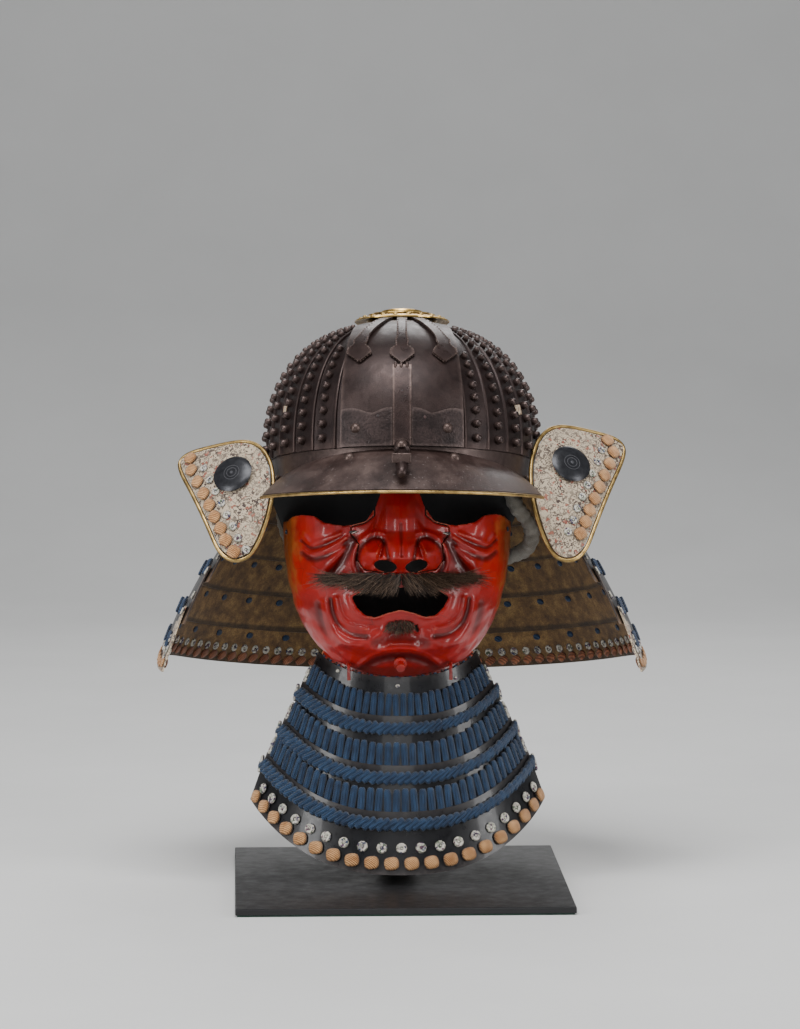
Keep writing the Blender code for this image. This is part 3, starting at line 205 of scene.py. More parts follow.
def bump(tree, shader, height, distance, strength=1.0):
    made = put(tree, "ShaderNodeBump", {"Height": height, "Distance": distance, "Strength": strength})
    feed(tree, shader, Normal=made.outputs["Normal"])


def smooth_route(points, steps):
    """Points along the smooth curve through a route."""
    places = [Vector(p) for p in points]
    ends = [places[0] * 2 - places[1]] + places + [places[-1] * 2 - places[-2]]
    route = []
    for a, b, c, d in zip(ends, ends[1:], ends[2:], ends[3:]):
        for k in range(steps):
            t = k / steps
            route.append(0.5 * (
                2 * b + (c - a) * t + (2 * a - 5 * b + 4 * c - d) * t ** 2
                + (3 * b - a - 3 * c + d) * t ** 3
            ))
    return route + [places[-1]]


def link_mesh(name, work, smooth_deg):
    """Makes a finished object of a bmesh, its faces turned outwards and its edges smooth by angle."""
    bmesh.ops.recalc_face_normals(work, faces=work.faces)
    mesh = bpy.data.meshes.new(name)
    work.to_mesh(mesh)
    work.free()
    mesh.shade_smooth()
    mesh.set_sharp_from_angle(angle=math.radians(smooth_deg))
    obj = bpy.data.objects.new(name, mesh)
    bpy.context.scene.collection.objects.link(obj)
    return obj


def tube_along(name, path, radius_at, sides):
    """A closed tube along points. Its UV map runs along it in metres and once round it."""
    work = bmesh.new()
    uv = work.loops.layers.uv.new("along")
    rings = []
    run = [0.0]
    side = None
    for i, here in enumerate(path):
        before, after = path[max(i - 1, 0)], path[min(i + 1, len(path) - 1)]
        along = (after - before).normalized()
        if side is None:
            side = along.orthogonal()
        side = (side - along * side.dot(along)).normalized()
        other = along.cross(side)
        if i:
            run.append(run[-1] + (here - path[i - 1]).length)
        ring = []
        for k in range(sides):
            turn = math.tau * k / sides
            reach = radius_at(run[-1], turn)
            ring.append(work.verts.new(here + (side * math.cos(turn) + other * math.sin(turn)) * reach))
        rings.append(ring)
    for i in range(len(path) - 1):
        for k in range(sides):
            m = (k + 1) % sides
            face = work.faces.new((rings[i][k], rings[i][m], rings[i + 1][m], rings[i + 1][k]))
            rounds = (k, k + 1, k + 1, k)
            for loop, turn, row in zip(face.loops, rounds, (i, i, i + 1, i + 1)):
                loop[uv].uv = (run[row], turn / sides)
    for ring, sign in ((rings[0], -1), (rings[-1], 1)):
        work.faces.new(ring[::sign])
    return link_mesh(name, work, 180.0)


def dress(obj, finish, slot, *nodes):
    """Gives a piece its finish and its place on the body, and hides the nodes it stands for. The slot is not
    used.
    """
    if finish:
        obj.data.materials.clear()
        obj.data.materials.append(finish)
    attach(obj, "root")
    if nodes:
        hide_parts(*nodes)
    return obj


CORD_DIAMETER = 0.0130
CORD_ROUTE = (
    (0.1006, 0.050, 0.3262),
    (0.0965, 0.047, 0.3215),
    (0.0935, 0.043, 0.3140),
    (0.0985, 0.042, 0.3035),
    (0.1045, 0.045, 0.2960),
    (0.1100, 0.050, 0.2860),
    (0.1105, 0.058, 0.2740),
    (0.1040, 0.068, 0.2650),
    (0.0900, 0.077, 0.2580),
    (0.0740, 0.079, 0.2500),
    (0.0500, 0.079, 0.2400),
    (0.0240, 0.079, 0.2320),
    (0.0000, 0.079, 0.2290),
    (-0.0240, 0.079, 0.2320),
    (-0.0500, 0.079, 0.2400),
    (-0.0740, 0.079, 0.2560),
    (-0.0900, 0.079, 0.2800),
    (-0.0925, 0.079, 0.3050),
    (-0.0930, 0.079, 0.3200),
    (-0.0966, 0.079, 0.3270),
)


def crepe_radius(run, turn):
    """The cord's radius: soft folds across it, and a slow swelling where it is bunched."""
    folds = 0.07 * math.sin(run * 900.0 + 1.7 * math.sin(turn + run * 60.0))
    slack = 0.05 * math.sin(run * 210.0 + 2.0 * turn)
    return 0.5 * CORD_DIAMETER * (0.95 + folds + slack)


crepe, tree, shader = new_finish("grey_crepe", Roughness=0.9, Sheen_Weight=0.35, Sheen_Roughness=0.5)
place = put(tree, "ShaderNodeUVMap", uv_map="along").outputs["UV"]
stretch = put(tree, "ShaderNodeMapping", {"Vector": place, "Scale": (1.0, 0.05, 1.0)}).outputs["Vector"]
wrinkles = put(tree, "ShaderNodeTexWave", {
    "Vector": stretch, "Scale": 420.0, "Distortion": 5.0, "Detail": 3.0, "Detail Scale": 2.0,
}, wave_type="BANDS").outputs["Fac"]
tone = patchy(tree, 90.0, 4.0, (0.20, 0.185, 0.15), (0.40, 0.375, 0.32), 0.3, 0.72)
# Painted shade: the cord's colour is darkened in the hollows of its wrinkles.
feed(tree, shader, Base_Color=shaded(tree, 0.5, tone, wrinkles, (0.1, 0.55), (0.9, 1.0)))
bump(tree, shader, wrinkles, 0.0006, 0.8)

route = smooth_route(CORD_ROUTE, 2)
fine_route = smooth_route([tuple(p) for p in route], 6)
chin_cord = tube_along("crepe_cord", fine_route, crepe_radius, 20)
dress(chin_cord, crepe, "grey_cord", "chin_cord")


# Bowl: thirty-two iron plates under russet lacquer, each lapped over the next with its edge
# turned up into a thin rib, and each with a row of standing rivets that shrink towards the crown.
# It is built in the helmet's own frame, which leans back on the stand.

HELMET = (
    Matrix.Translation((0.005, 0.077, 0.338))
    @ Matrix.Rotation(math.radians(-2.2), 4, "Z") @ Matrix.Rotation(math.radians(-11.0), 4, "X")
)
BOWL_WIDTH, BOWL_LENGTH, BOWL_HEIGHT, BOWL_FULLNESS = 0.221, 0.250, 0.1125, 2.5
PLATE_COUNT = 32
FRONT_HALF_WIDTH, FRONT_TAPER = 0.048, 0.022


def bowl_point(turn, climb, extra=0.0):
    """A point of the bowl in its own frame: turn from the front, climb from 0 at the rim to 1."""
    lift = 0.5 * math.pi * climb
    shrink = math.cos(lift) ** (2.0 / BOWL_FULLNESS)
    rise = math.sin(lift) ** (2.0 / BOWL_FULLNESS)
    return Vector((
        (0.5 * BOWL_WIDTH + extra) * shrink * math.sin(turn),
        -(0.5 * BOWL_LENGTH + extra) * shrink * math.cos(turn),
        (BOWL_HEIGHT + extra) * rise,
    ))


def ring_wall(name, outer, inner, smooth_deg):
    """A closed wall between two grids of points that run all the way round."""
    work = bmesh.new()
    out, back = ([[work.verts.new(p) for p in row] for row in grid] for grid in (outer, inner))
    columns = len(outer[0])
    spans = [(c, (c + 1) % columns) for c in range(columns)]
    for skin, sense in ((out, 1), (back, -1)):
        for low, high in zip(skin, skin[1:]):
            for c, d in spans:
                work.faces.new((low[c], low[d], high[d], high[c])[::sense])
    for r in (0, -1):
        for c, d in spans:
            work.faces.new((out[r][c], back[r][c], back[r][d], out[r][d]))
    return link_mesh(name, work, smooth_deg)


# A plate's cross-section: shares of its breadth, and of how far its turned-up edge stands proud.
PLATE_PROFILE = (
    (0.0, 0.0), (0.42, 0.45), (0.84, 0.62), (0.885, 1.35), (0.93, 1.45), (0.965, 1.2), (0.985, 0.1)
)
PLATE_PROUD, PLATE_DEEP, AIR_HOLE, PLATE_ROWS = 0.0014, 0.0025, 0.016, 30
outer, inner = [], []
top = 2.0 / math.pi * math.acos((AIR_HOLE / (0.5 * BOWL_WIDTH)) ** (0.5 * BOWL_FULLNESS))
for r in range(PLATE_ROWS + 1):
    climb = top * r / PLATE_ROWS
    line, inside = [], []
    for k in range(PLATE_COUNT):
        for across, proud in PLATE_PROFILE:
            turn = math.tau * (k + 0.5 + across) / PLATE_COUNT
            line.append(HELMET @ bowl_point(turn, climb, PLATE_PROUD * proud))
            inside.append(HELMET @ bowl_point(turn, climb, -PLATE_DEEP))
    outer.append(line)
    inner.append(inside)
bowl_plates = ring_wall("bowl_plates", outer, inner, 28.0)


def maths(tree, operation, *values):
    made = put(tree, "ShaderNodeMath", operation=operation)
    for socket, value in zip(made.inputs, values):
        if isinstance(value, bpy.types.NodeSocket):
            tree.links.new(value, socket)
        else:
            socket.default_value = value
    return made.outputs["Value"]


def edge_wear_group():
    """Where a surface turns outwards sharply, broken up by noise: 1 on worn edges."""
    tree = bpy.data.node_groups.new("edge_wear", "ShaderNodeTree")
    for name, value in (("Start", 0.52), ("End", 0.58), ("Breakup", 300.0)):
        socket = tree.interface.new_socket(name, in_out="INPUT", socket_type="NodeSocketFloat")
        socket.default_value = value
    tree.interface.new_socket("Wear", in_out="OUTPUT", socket_type="NodeSocketFloat")
    source = tree.nodes.new("NodeGroupInput")
    end = tree.nodes.new("NodeGroupOutput")
    point = put(tree, "ShaderNodeNewGeometry").outputs["Pointiness"]
    spread = put(tree, "ShaderNodeMapRange", {
        "Value": point, "From Min": source.outputs["Start"], "From Max": source.outputs["End"],
    }).outputs["Result"]
    rough = put(tree, "ShaderNodeTexNoise", {
        "Vector": object_place(tree), "Scale": source.outputs["Breakup"], "Detail": 4.0,
    }).outputs["Fac"]
    broken = maths(tree, "MULTIPLY", rough, 1.7)
    tree.links.new(maths(tree, "MULTIPLY", spread, broken), end.inputs["Wear"])
    return tree


EDGE_WEAR = edge_wear_group()


def worn(tree, start=0.52, end=0.58, breakup=300.0):
    made = put(tree, "ShaderNodeGroup", node_tree=EDGE_WEAR)
    for name, value in (("Start", start), ("End", end), ("Breakup", breakup)):
        made.inputs[name].default_value = value
    return made.outputs["Wear"]


def roughen(tree, shader, scale, detail, low, high):
    """Roughness that wanders between two values."""
    feed(tree, shader, Roughness=patchy(tree, scale, detail, low, high))


def iron_finish(name, dark, light, edge, roughness, grain, metallic=0.55):
    """Lacquered iron: mottled, finely pitted, a little brighter where it is rubbed."""
    material, tree, shader = new_finish(name, Metallic=metallic, Specular_IOR_Level=0.35)
    mottle = patchy(tree, 55.0, 6.0, dark, light, 0.34, 0.66)
    pits = speckle(tree, grain, 2.0, 0.5)
    tone = mixed(tree, ramp(tree, pits, (0.30, 0.55), (0.55, 0.0)), mottle, tuple(0.4 * v for v in dark))
    feed(tree, shader, Base_Color=mixed(tree, worn(tree), tone, edge))
    roughen(tree, shader, 140.0, 5.0, roughness - 0.08, roughness + 0.12)
    bump(tree, shader, pits, 0.45 / grain, 0.55)
    return material


russet = iron_finish(
    "russet_iron", (0.018, 0.011, 0.0105), (0.038, 0.024, 0.022), (0.066, 0.043, 0.038), 0.40, 1300.0
)
dress(bowl_plates, russet, "russet_iron", "bowl")


def scatter(name, pattern, places, finish, slot, *nodes):
    """Copies of a pattern at every place that was found, joined and dressed as one piece.

    The attribute crown rises from 0 at each copy's back to 1 at its top; the silk finishes paint shade on the
    low sides with it.
    """
    deselect_all()
    heights = [v.co.z for v in pattern.data.vertices]
    low, high = min(heights), max(heights)
    crown = pattern.data.attributes.new("crown", "FLOAT", "POINT")
    crown.data.foreach_set("value", [(z - low) / (high - low) for z in heights])
    made = []
    for place in filter(None, places):
        copy = bpy.data.objects.new(name, pattern.data.copy())
        copy.data.transform(place)
        bpy.context.scene.collection.objects.link(copy)
        copy.select_set(True)
        made.append(copy)
    bpy.context.view_layer.objects.active = made[0]
    if len(made) > 1:
        bpy.ops.object.join()
    whole = bpy.context.object
    whole.name = whole.data.name = name
    bpy.data.objects.remove(pattern, do_unlink=True)
    dress(whole, finish, slot, *nodes)


def tree_of(*objs):
    """A search tree over the finished surfaces of some objects."""
    verts, faces = [], []
    for obj in objs:
        start = len(verts)
        verts += [v.co.copy() for v in obj.data.vertices]
        faces += [[start + i for i in p.vertices] for p in obj.data.polygons]
    return BVHTree.FromPolygons(verts, faces)


def seat_on(tree, start, aim, up=Vector((0, 0, 1)), lift=0.0, spin=0.0):
    """A matrix that stands a pattern, its Z outwards, where a ray meets a surface. None if it misses."""
    place, normal, index, distance = tree.ray_cast(start, aim)
    if place is None:
        return None
    if normal.dot(aim) > 0:
        normal = -normal
    across = up.cross(normal)
    if across.length < 1e-6:
        across = normal.orthogonal()
    across.normalize()
    turn = Matrix((across, normal.cross(across), normal)).transposed().to_4x4()
    return Matrix.Translation(place + normal * lift) @ turn @ Matrix.Rotation(spin, 4, "Z")


bpy.ops.mesh.primitive_cone_add(
    vertices=12, radius1=0.0040, radius2=0.0027, depth=0.0052, location=(0, 0, 0.0022)
)
rivet = bpy.context.object
rivet.data.transform(rivet.matrix_world)
rivet.matrix_world = Matrix()
pick(rivet.data, "polygons", lambda face: face.normal.z > 0.9)
bpy.ops.mesh.inset(thickness=0.0007, depth=0.0006)
bpy.ops.mesh.inset(thickness=0.0009, depth=0.0003)
mode("OBJECT")
bpy.ops.object.shade_smooth()

bowl_tree = tree_of(bowl_plates)
lean = HELMET.to_3x3()
RIVET_LINE, RIVETS_FROM, FIRST_STEP, LEAST_STEP, STEP_SHARE = 0.40, 0.0085, 0.0118, 0.0072, 0.965
RIVETS_TOP, CLIMB_STEPS, FINIAL_CLEAR, FRONT_CLEAR = 0.90, 1600, 0.043, 0.004
spots = []
for k in range(PLATE_COUNT):
    turn = math.tau * (k + 0.5 + RIVET_LINE) / PLATE_COUNT
    step, run = FIRST_STEP, RIVETS_FROM
    last = bowl_point(turn, 0.0)
    for i in range(1, CLIMB_STEPS):
        climb = RIVETS_TOP * i / CLIMB_STEPS
        here = bowl_point(turn, climb)
        run -= (here - last).length
        last = here
        if run > 0:
            continue
        shrink = math.cos(0.5 * math.pi * climb) ** (2.0 / BOWL_FULLNESS)
        half = FRONT_HALF_WIDTH - FRONT_TAPER * (1.0 - shrink) + FRONT_CLEAR
        if (here.y < 0 and abs(here.x) < half) or math.hypot(here.x, here.y) < FINIAL_CLEAR:
            run = step
            continue
        outward = (here - bowl_point(turn, climb, -0.01)).normalized()
        spot = seat_on(bowl_tree, HELMET @ (here + outward * 0.02), lean @ -outward, lift=-0.0003)
        size = 1.0 - 0.45 * climb
        spots.append(spot and spot @ Matrix.Diagonal((size, size, size * 1.05, 1.0)))
        step = max(LEAST_STEP, step * STEP_SHARE)
        run = step
rivet_iron = iron_finish(
    "rivet_iron", (0.015, 0.009, 0.009), (0.030, 0.019, 0.018), (0.085, 0.058, 0.052), 0.30, 1500.0
)
scatter("standing_rivets", rivet, spots, rivet_iron, "russet_iron")


# Fittings on the bowl: the smooth front plate, the grained plates over the brow, the upright
# crest bar with its pronged top, three straps like swords, and two scraps of leather left in the ribs.
# The iron ones are forged or cut from sheet, riveted through the bowl and lacquered with it.

def apply_modifier(obj, kind, **settings):
    made = obj.modifiers.new("work", kind)
    for key, value in settings.items():
        setattr(made, key, value)
    bpy.ops.object.modifier_apply(modifier="work")


def finer(node, name, levels=2, sharp=32.0, smooth_deg=40.0):
    """A finer copy of a node's surface: merged, turned to quads, its sharp edges held, subdivided."""
    deselect_all()
    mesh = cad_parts[node].data.copy()
    mesh.name = name
    obj = bpy.data.objects.new(name, mesh)
    bpy.context.scene.collection.objects.link(obj)
    obj.select_set(True)
    bpy.context.view_layer.objects.active = obj
    bpy.ops.mesh.customdata_custom_splitnormals_clear()
    mode("EDIT")
    bpy.ops.mesh.select_mode(type="EDGE")
    bpy.ops.mesh.select_all(action="SELECT")
    bpy.ops.mesh.remove_doubles(threshold=0.00001)
    bpy.ops.mesh.tris_convert_to_quads(face_threshold=math.radians(50), shape_threshold=math.radians(80))
    bpy.ops.mesh.select_all(action="DESELECT")
    bpy.ops.mesh.edges_select_sharp(sharpness=math.radians(sharp))
    if levels:
        bpy.ops.transform.edge_crease(value=1.0)
    bpy.ops.mesh.select_mode(type="VERT")
    mode("OBJECT")
    if levels:
        apply_modifier(obj, "SUBSURF", levels=levels)
    bpy.ops.object.shade_smooth_by_angle(angle=math.radians(smooth_deg))
    return obj


def refine(node, name, finish, slot, levels=2, sharp=32.0, smooth_deg=40.0):
    """A finer copy of a node, dressed to stand in its place."""
    return dress(finer(node, name, levels, sharp, smooth_deg), finish, slot, node)


smooth_iron = iron_finish(
    "smooth_russet", (0.024, 0.0145, 0.0135), (0.046, 0.029, 0.026), (0.085, 0.058, 0.051), 0.36, 1700.0
)
grained_iron = iron_finish(
    "grained_iron", (0.015, 0.0095, 0.0092), (0.044, 0.029, 0.027), (0.090, 0.064, 0.058), 0.44, 520.0
)
strap_iron = iron_finish(
    "strap_iron", (0.022, 0.0125, 0.0115), (0.048, 0.029, 0.0255), (0.105, 0.072, 0.062), 0.30, 1500.0
)
front_sheet = refine("front_plate", "front_sheet", smooth_iron, "russet_iron")
brow_left = refine("brow_plate_left", "brow_sheet_left", grained_iron, "dark_iron")
brow_right = refine("brow_plate_right", "brow_sheet_right", grained_iron, "dark_iron")
bar = refine("crest_bar", "crest_slide", strap_iron, "russet_iron")
socket = refine("crest_peg", "crest_socket", strap_iron, "russet_iron", 2, 50.0)
refine("waist_band", "band_sheet", smooth_iron, "russet_iron", 1)
straps = [
    refine(f"blade_{side}", f"strap_{side}", strap_iron, "dark_iron")
    for side in ("centre", "left", "right")
]


def dome_pattern(radius, height, rings=3, sides=16):
    """A low dome with its back on Z = 0: half of a sphere, pressed flat."""
    bpy.ops.mesh.primitive_uv_sphere_add(segments=sides, ring_count=2 * rings, radius=radius)
    dome = bpy.context.object
    mode("EDIT")
    bpy.ops.mesh.select_all(action="SELECT")
    bpy.ops.mesh.bisect(plane_co=(0, 0, 0), plane_no=(0, 0, 1), clear_inner=True, use_fill=True)
    mode("OBJECT")
    dome.data.transform(Matrix.Diagonal((1, 1, height / radius, 1)))
    bpy.ops.object.shade_smooth_by_angle(angle=math.radians(50))
    return dome


PHOTO_WIDE, PHOTO_HIGH, LENS_PIXELS = 800.0, 1029.0, 4300.0


def photo_ray(u, v):
    """Start and aim of the camera's line through a pixel of the 800 by 1029 frame."""
    aim = Vector((u - 0.5 * PHOTO_WIDE, 0.5 * PHOTO_HIGH - v, -LENS_PIXELS)) / LENS_PIXELS
    return camera.matrix_world.translation.copy(), (camera.matrix_world.to_3x3() @ aim).normalized()


def seats(tree, pixels, lift=0.0, spins=None):
    """Places on a surface behind pixels of the photograph's frame, each with its own spin."""
    spins = spins or [0.0] * len(pixels)
    return [seat_on(tree, *photo_ray(u, v), lift=lift, spin=spin) for (u, v), spin in zip(pixels, spins)]


bpy.context.view_layer.update()
front_tree = tree_of(front_sheet, brow_left, brow_right, bar, socket)
places = seats(front_tree, ((355, 428), (448, 428), (401.4, 444)), -0.0002)
places[-1] = places[-1] @ Matrix.Scale(1.1, 4)
scatter("front_rivets", dome_pattern(0.0042, 0.0034), places, strap_iron, "dark_iron")


def bead_pattern(radius, long, flat=1.0, square=0.0):
    """A small smooth bead, longer along X than along Y, made from a rounded cube."""
    bpy.ops.mesh.primitive_cube_add(size=2.0)
    bead = bpy.context.object
    if square:
        mode("EDIT")
        bpy.ops.transform.edge_crease(value=square)
        mode("OBJECT")
    apply_modifier(bead, "SUBSURF", levels=2)
    bead.data.transform(Matrix.Diagonal((radius * long, radius, radius * flat, 1.0)))
    bpy.ops.object.shade_smooth()
    return bead


slot_dark, tree, shader = new_finish("slot_shadow", Roughness=0.6)
feed(
    tree, shader,
    Base_Color=patchy(tree, 500.0, 3.0, (0.010, 0.004, 0.004), (0.040, 0.014, 0.012), 0.4, 0.6)
)
places = seats(front_tree, ((402, 391), (377.5, 416), (425, 417)))
scatter("front_holes", bead_pattern(0.0016, 1.0, 0.3), places, slot_dark, "dark_iron")
places = seats(front_tree, ((395.4, 364.5), (401.3, 364.5), (407.2, 364.5)), -0.0004)
scatter("crest_prongs", bead_pattern(0.0042, 0.42, 0.34), places, strap_iron, "russet_iron")
bpy.ops.mesh.primitive_cube_add(size=1.0)
collar = bpy.context.object
collar.name = collar.data.name = "crest_collar"
place = front_tree.ray_cast(*photo_ray(401.5, 458.5))[0]
collar.data.transform(
    Matrix.Translation(place + Vector((0.0, 0.0012, 0.0)))
    @ lean.to_4x4() @ Matrix.Diagonal((0.0156, 0.0075, 0.0080, 1.0))
)
mode("EDIT")
bpy.ops.mesh.select_all(action="SELECT")
bpy.ops.mesh.bevel(offset=0.0009, segments=3)
mode("OBJECT")
bpy.ops.object.shade_smooth_by_angle(angle=math.radians(40))
dress(collar, strap_iron, "russet_iron")

leather_scrap, tree, shader = new_finish("leather_scrap", Roughness=0.8)
feed(tree, shader, Base_Color=patchy(tree, 420.0, 4.0, (0.22, 0.13, 0.08), (0.62, 0.52, 0.38), 0.38, 0.62))
bump(tree, shader, speckle(tree, 700.0), 0.0005)
bpy.ops.mesh.primitive_grid_add(x_subdivisions=6, y_subdivisions=4, size=0.0085)
scrap = bpy.context.object
mode("EDIT")
bpy.ops.mesh.select_all(action="SELECT")
bpy.ops.mesh.extrude_region_move(TRANSFORM_OT_translate={"value": (0, 0, 0.0012)})
bpy.ops.mesh.vertices_smooth(factor=0.4, repeat=2)
bpy.ops.mesh.select_all(action="SELECT")
bpy.ops.mesh.normals_make_consistent(inside=False)
mode("OBJECT")
bpy.ops.object.shade_smooth()
places = seats(bowl_tree, ((285, 411), (517.5, 410)), 0.0002)
scatter("leather_scraps", scrap, places, leather_scrap, "printed_leather")


def frange(first, last, step):
    return [first + step * k for k in range(int((last - first) / step) + 1)]


def edge_pixels(tree, v, first, last, step):
    """The first and the last pixel of a row of the photograph's frame that a surface covers, or None."""
    hits = [u for u in frange(first, last, step) if tree.ray_cast(*photo_ray(u, v))[0]]
    return (hits[0], hits[-1]) if hits else None


# Beaded wire is soldered round each strap: a row of tiny grains down both of its edges.
places = []
for strap, first, last in zip(straps, (385.0, 338.0, 415.0), (418.0, 392.0, 462.0)):
    strap_tree = tree_of(strap)
    for v in frange(316.0, 362.0, 1.8):
        ends = edge_pixels(strap_tree, v, first, last, 0.5)
        if ends and ends[1] - ends[0] > 3.0:
            places += seats(strap_tree, ((ends[0] + 0.8, v), (ends[1] - 0.8, v)), 0.0001)
scatter("strap_grains", dome_pattern(0.00075, 0.0006, 2, 8), places, strap_iron, "dark_iron")


# Crown finial: stacked rings of gilt copper, cut and turned up into petals round the air hole.
# The tiers are chased by hand, and they are darker in their hollows.

def gilt_finish(name, deep, bright, roughness, grain=900.0):
    material, tree, shader = new_finish(name, Metallic=1.0)
    tone = patchy(tree, 110.0, 6.0, deep, bright, 0.34, 0.62)
    # Darker in the hollows, where the surface turns inwards.
    hollows = put(tree, "ShaderNodeNewGeometry").outputs["Pointiness"]
    tone = mixed(tree, ramp(tree, hollows, (0.44, 1.0), (0.50, 0.0)), tone, tuple(0.25 * v for v in deep))
    feed(tree, shader, Base_Color=tone)
    roughen(tree, shader, 240.0, 5.0, roughness - 0.1, roughness + 0.14)
    bump(tree, shader, speckle(tree, grain, 3.0), 0.0003, 0.35)
    return material


gilt = gilt_finish("gilt_copper", (0.40, 0.24, 0.06), (0.78, 0.52, 0.17), 0.30)
brass = gilt_finish("aged_brass", (0.22, 0.14, 0.05), (0.50, 0.34, 0.13), 0.36, 1400.0)
for node in ("finial_base", "finial_petals", "finial_crown", "finial_ring"):
    refine(node, node.replace("finial", "gilt"), gilt, "gilt", 2, 45.0)
crown_tree = tree_of(bpy.data.objects["gilt_base"])
PETALS = 20
places = []
for i in range(PETALS):
    turn = math.tau * (i + 0.5) / PETALS
    out = Vector((math.sin(turn), -math.cos(turn), 0.0))
    above = HELMET @ (out * 0.0345 + Vector((0, 0, 0.16)))
    places.append(seat_on(crown_tree, above, lean @ Vector((0, 0, -1))))
scatter("petal_bosses", dome_pattern(0.0021, 0.0013, 2, 10), places, gilt, "gilt")


# Visor: a curved sheet of iron under brown lacquer, with a brass wire
# drawn over its edge and two dome rivets that hold it to the band.

visor_skin, tree, shader = new_finish("visor_lacquer", Metallic=0.35, Coat_Weight=0.2, Coat_Roughness=0.3)
blotch = speckle(tree, 38.0, 7.0, 0.65)
tone = ramp(
    tree, blotch, (0.32, (0.022, 0.012, 0.010)), (0.50, (0.048, 0.028, 0.024)),
    (0.68, (0.095, 0.062, 0.053))
)
scars = patchy(tree, 420.0, 3.0, 0.0, 0.6, 0.64, 0.72)
feed(tree, shader, Base_Color=mixed(tree, scars, tone, (0.26, 0.22, 0.21)))
feed(tree, shader, Roughness=ramp(tree, blotch, (0.3, 0.30), (0.7, 0.52)))
bump(tree, shader, speckle(tree, 650.0, 4.0), 0.0005, 0.4)
visor = refine("visor", "visor_sheet", visor_skin, "russet_iron", 2, 30.0)
refine("visor_rim", "visor_wire", brass, "gilt", 2, 80.0, 60.0)
visor_tree = tree_of(visor)
places = seats(visor_tree, ((349, 457), (455, 457)), -0.0002)
scatter("visor_rivets", dome_pattern(0.0046, 0.0036), places, strap_iron, "dark_iron")


# Face mask: one sheet of iron hammered into folds and ridges, with a nose plate pinned into it.
# Both are coated in many layers of red lacquer, rubbed through to orange-brown along the edges
# and on the cheeks, and each fold is raised by hand from the back.

def thick_skin(node, name, voxel, smoothing):
    """A dense, even copy of a node's solid, ready to be worked like hammered sheet."""
    obj = finer(node, name, 0)
    apply_modifier(obj, "REMESH", mode="VOXEL", voxel_size=voxel)
    apply_modifier(obj, "SMOOTH", factor=0.5, iterations=smoothing)
    bpy.ops.object.shade_smooth()
    return obj


mask_shell = thick_skin("face_mask", "mask_shell", 0.00105, 10)
nose_shell = thick_skin("nose_plate", "nose_shell", 0.00085, 7)
mask_tree = tree_of(mask_shell, nose_shell)

# Folds as seen from the front, each drawn on the left half and repeated on the right.
# Columns: how wide and how far out, as shares of the two sizes, then pixels of the photograph's frame.
FOLD_REACH, FOLD_HEIGHT = 0.00145, 0.0013
MASK_FOLDS = (
    (1.5, 1.5, (303, 536), (311, 543), (320, 541), (330, 538), (340, 534)),
    (1.2, -1.3, (302, 541), (311, 548), (322, 546), (333, 541), (343, 536)),
    (1.5, 1.5, (301, 546), (311, 553), (323, 551), (335, 545), (345, 538)),
    (1.6, -1.3, (303, 553), (312, 559), (325, 557), (337, 551), (347, 542)),
    (2.4, -1.9, (332, 574), (341, 562), (349, 549), (354, 540)),
    (2.6, 1.5, (322, 570), (333, 559), (342, 549)),
    (6.0, 1.5, (319, 526), (322, 527)),
    (1.7, 1.8, (336, 599), (338, 609), (343, 619), (353, 626), (366, 629)),
    (1.6, -1.7, (331, 600), (333, 613), (339, 625), (351, 634), (366, 637)),
    (2.2, 1.6, (325, 602), (327, 615), (333, 630), (344, 641), (358, 646)),
    (2.4, -1.0, (319, 605), (321, 620), (328, 636), (340, 650)),
    (1.3, 1.0, (349, 597), (353, 608), (361, 616), (374, 614), (388, 609), (402, 606)),
    (1.3, -1.5, (361, 574), (357, 562), (360, 549), (368, 541), (378, 538), (385, 544), (388, 556),
     (389, 567)),
    (4.6, 1.7, (374, 553), (377, 553)),
    (0.9, 0.7, (356, 574), (353, 562), (355, 548), (363, 537), (374, 532), (384, 533)),
    (1.0, -0.9, (403, 524), (403.4, 536), (403.8, 556)),
    (3.4, 0.9, (395, 549), (395, 551)),
    (3.2, -1.0, (377, 643), (390, 639), (403, 638)),
    (8.0, 1.6, (341, 639), (343, 641)),
    (1.2, 1.2, (356, 669), (364, 661), (376, 654), (390, 650), (403, 649)),
    (2.6, -1.6, (360, 674), (368, 666), (379, 660), (391, 657), (403, 656)),
    (1.1, 0.8, (290, 520), (303, 514), (316, 515), (327, 521), (340, 524)),
)


def attribute(tree, name):
    """The value that a piece's points carry under this name."""
    return put(tree, "ShaderNodeAttribute", attribute_name=name).outputs["Fac"]


def press_folds(obj, proud=0.0):
    """Works the folds into a skin, along the depth that the photograph's viewer sees."""
    count = len(obj.data.vertices)
    flat = np.empty(count * 3)
    obj.data.vertices.foreach_get("co", flat)
    co = flat.reshape(-1, 3)
    seen = np.stack((np.abs(co[:, 0]), co[:, 2]), axis=1)
    total = np.zeros(count)
    for wide, height, *pixels in MASK_FOLDS:
        line = []
        for u, v in pixels:
            start, aim = photo_ray(u, v)
            place = mask_tree.ray_cast(start, aim)[0]
            if place is None:
                place = start - aim * (start.y / aim.y)
            line.append(Vector((max(0.0, -place.x), place.z, 0.0)))
        line = [tuple(p[:2]) for p in smooth_route(line, 6)]
        nearest = np.full(count, 1e9)
        for a, b in zip(line, line[1:]):
            a, b = np.array(a), np.array(b)
            run = b - a
            share = np.clip(((seen - a) @ run) / max(1e-12, run @ run), 0.0, 1.0)
            away = seen - (a + share[:, None] * run)
            nearest = np.minimum(nearest, (away ** 2).sum(axis=1))
        total += FOLD_HEIGHT * height * np.exp(-nearest / (FOLD_REACH * wide) ** 2)
    co[:, 1] -= total + proud
    # worked holds each point's fold height in millimetres, which the red lacquer uses to paint shade into the
    # hollows.
    worked = obj.data.attributes.new("worked", "FLOAT", "POINT")
    worked.data.foreach_set("value", total * 1000.0)
    obj.data.vertices.foreach_set("co", co.ravel())
    obj.data.update()


press_folds(mask_shell)
press_folds(nose_shell, 0.0006)


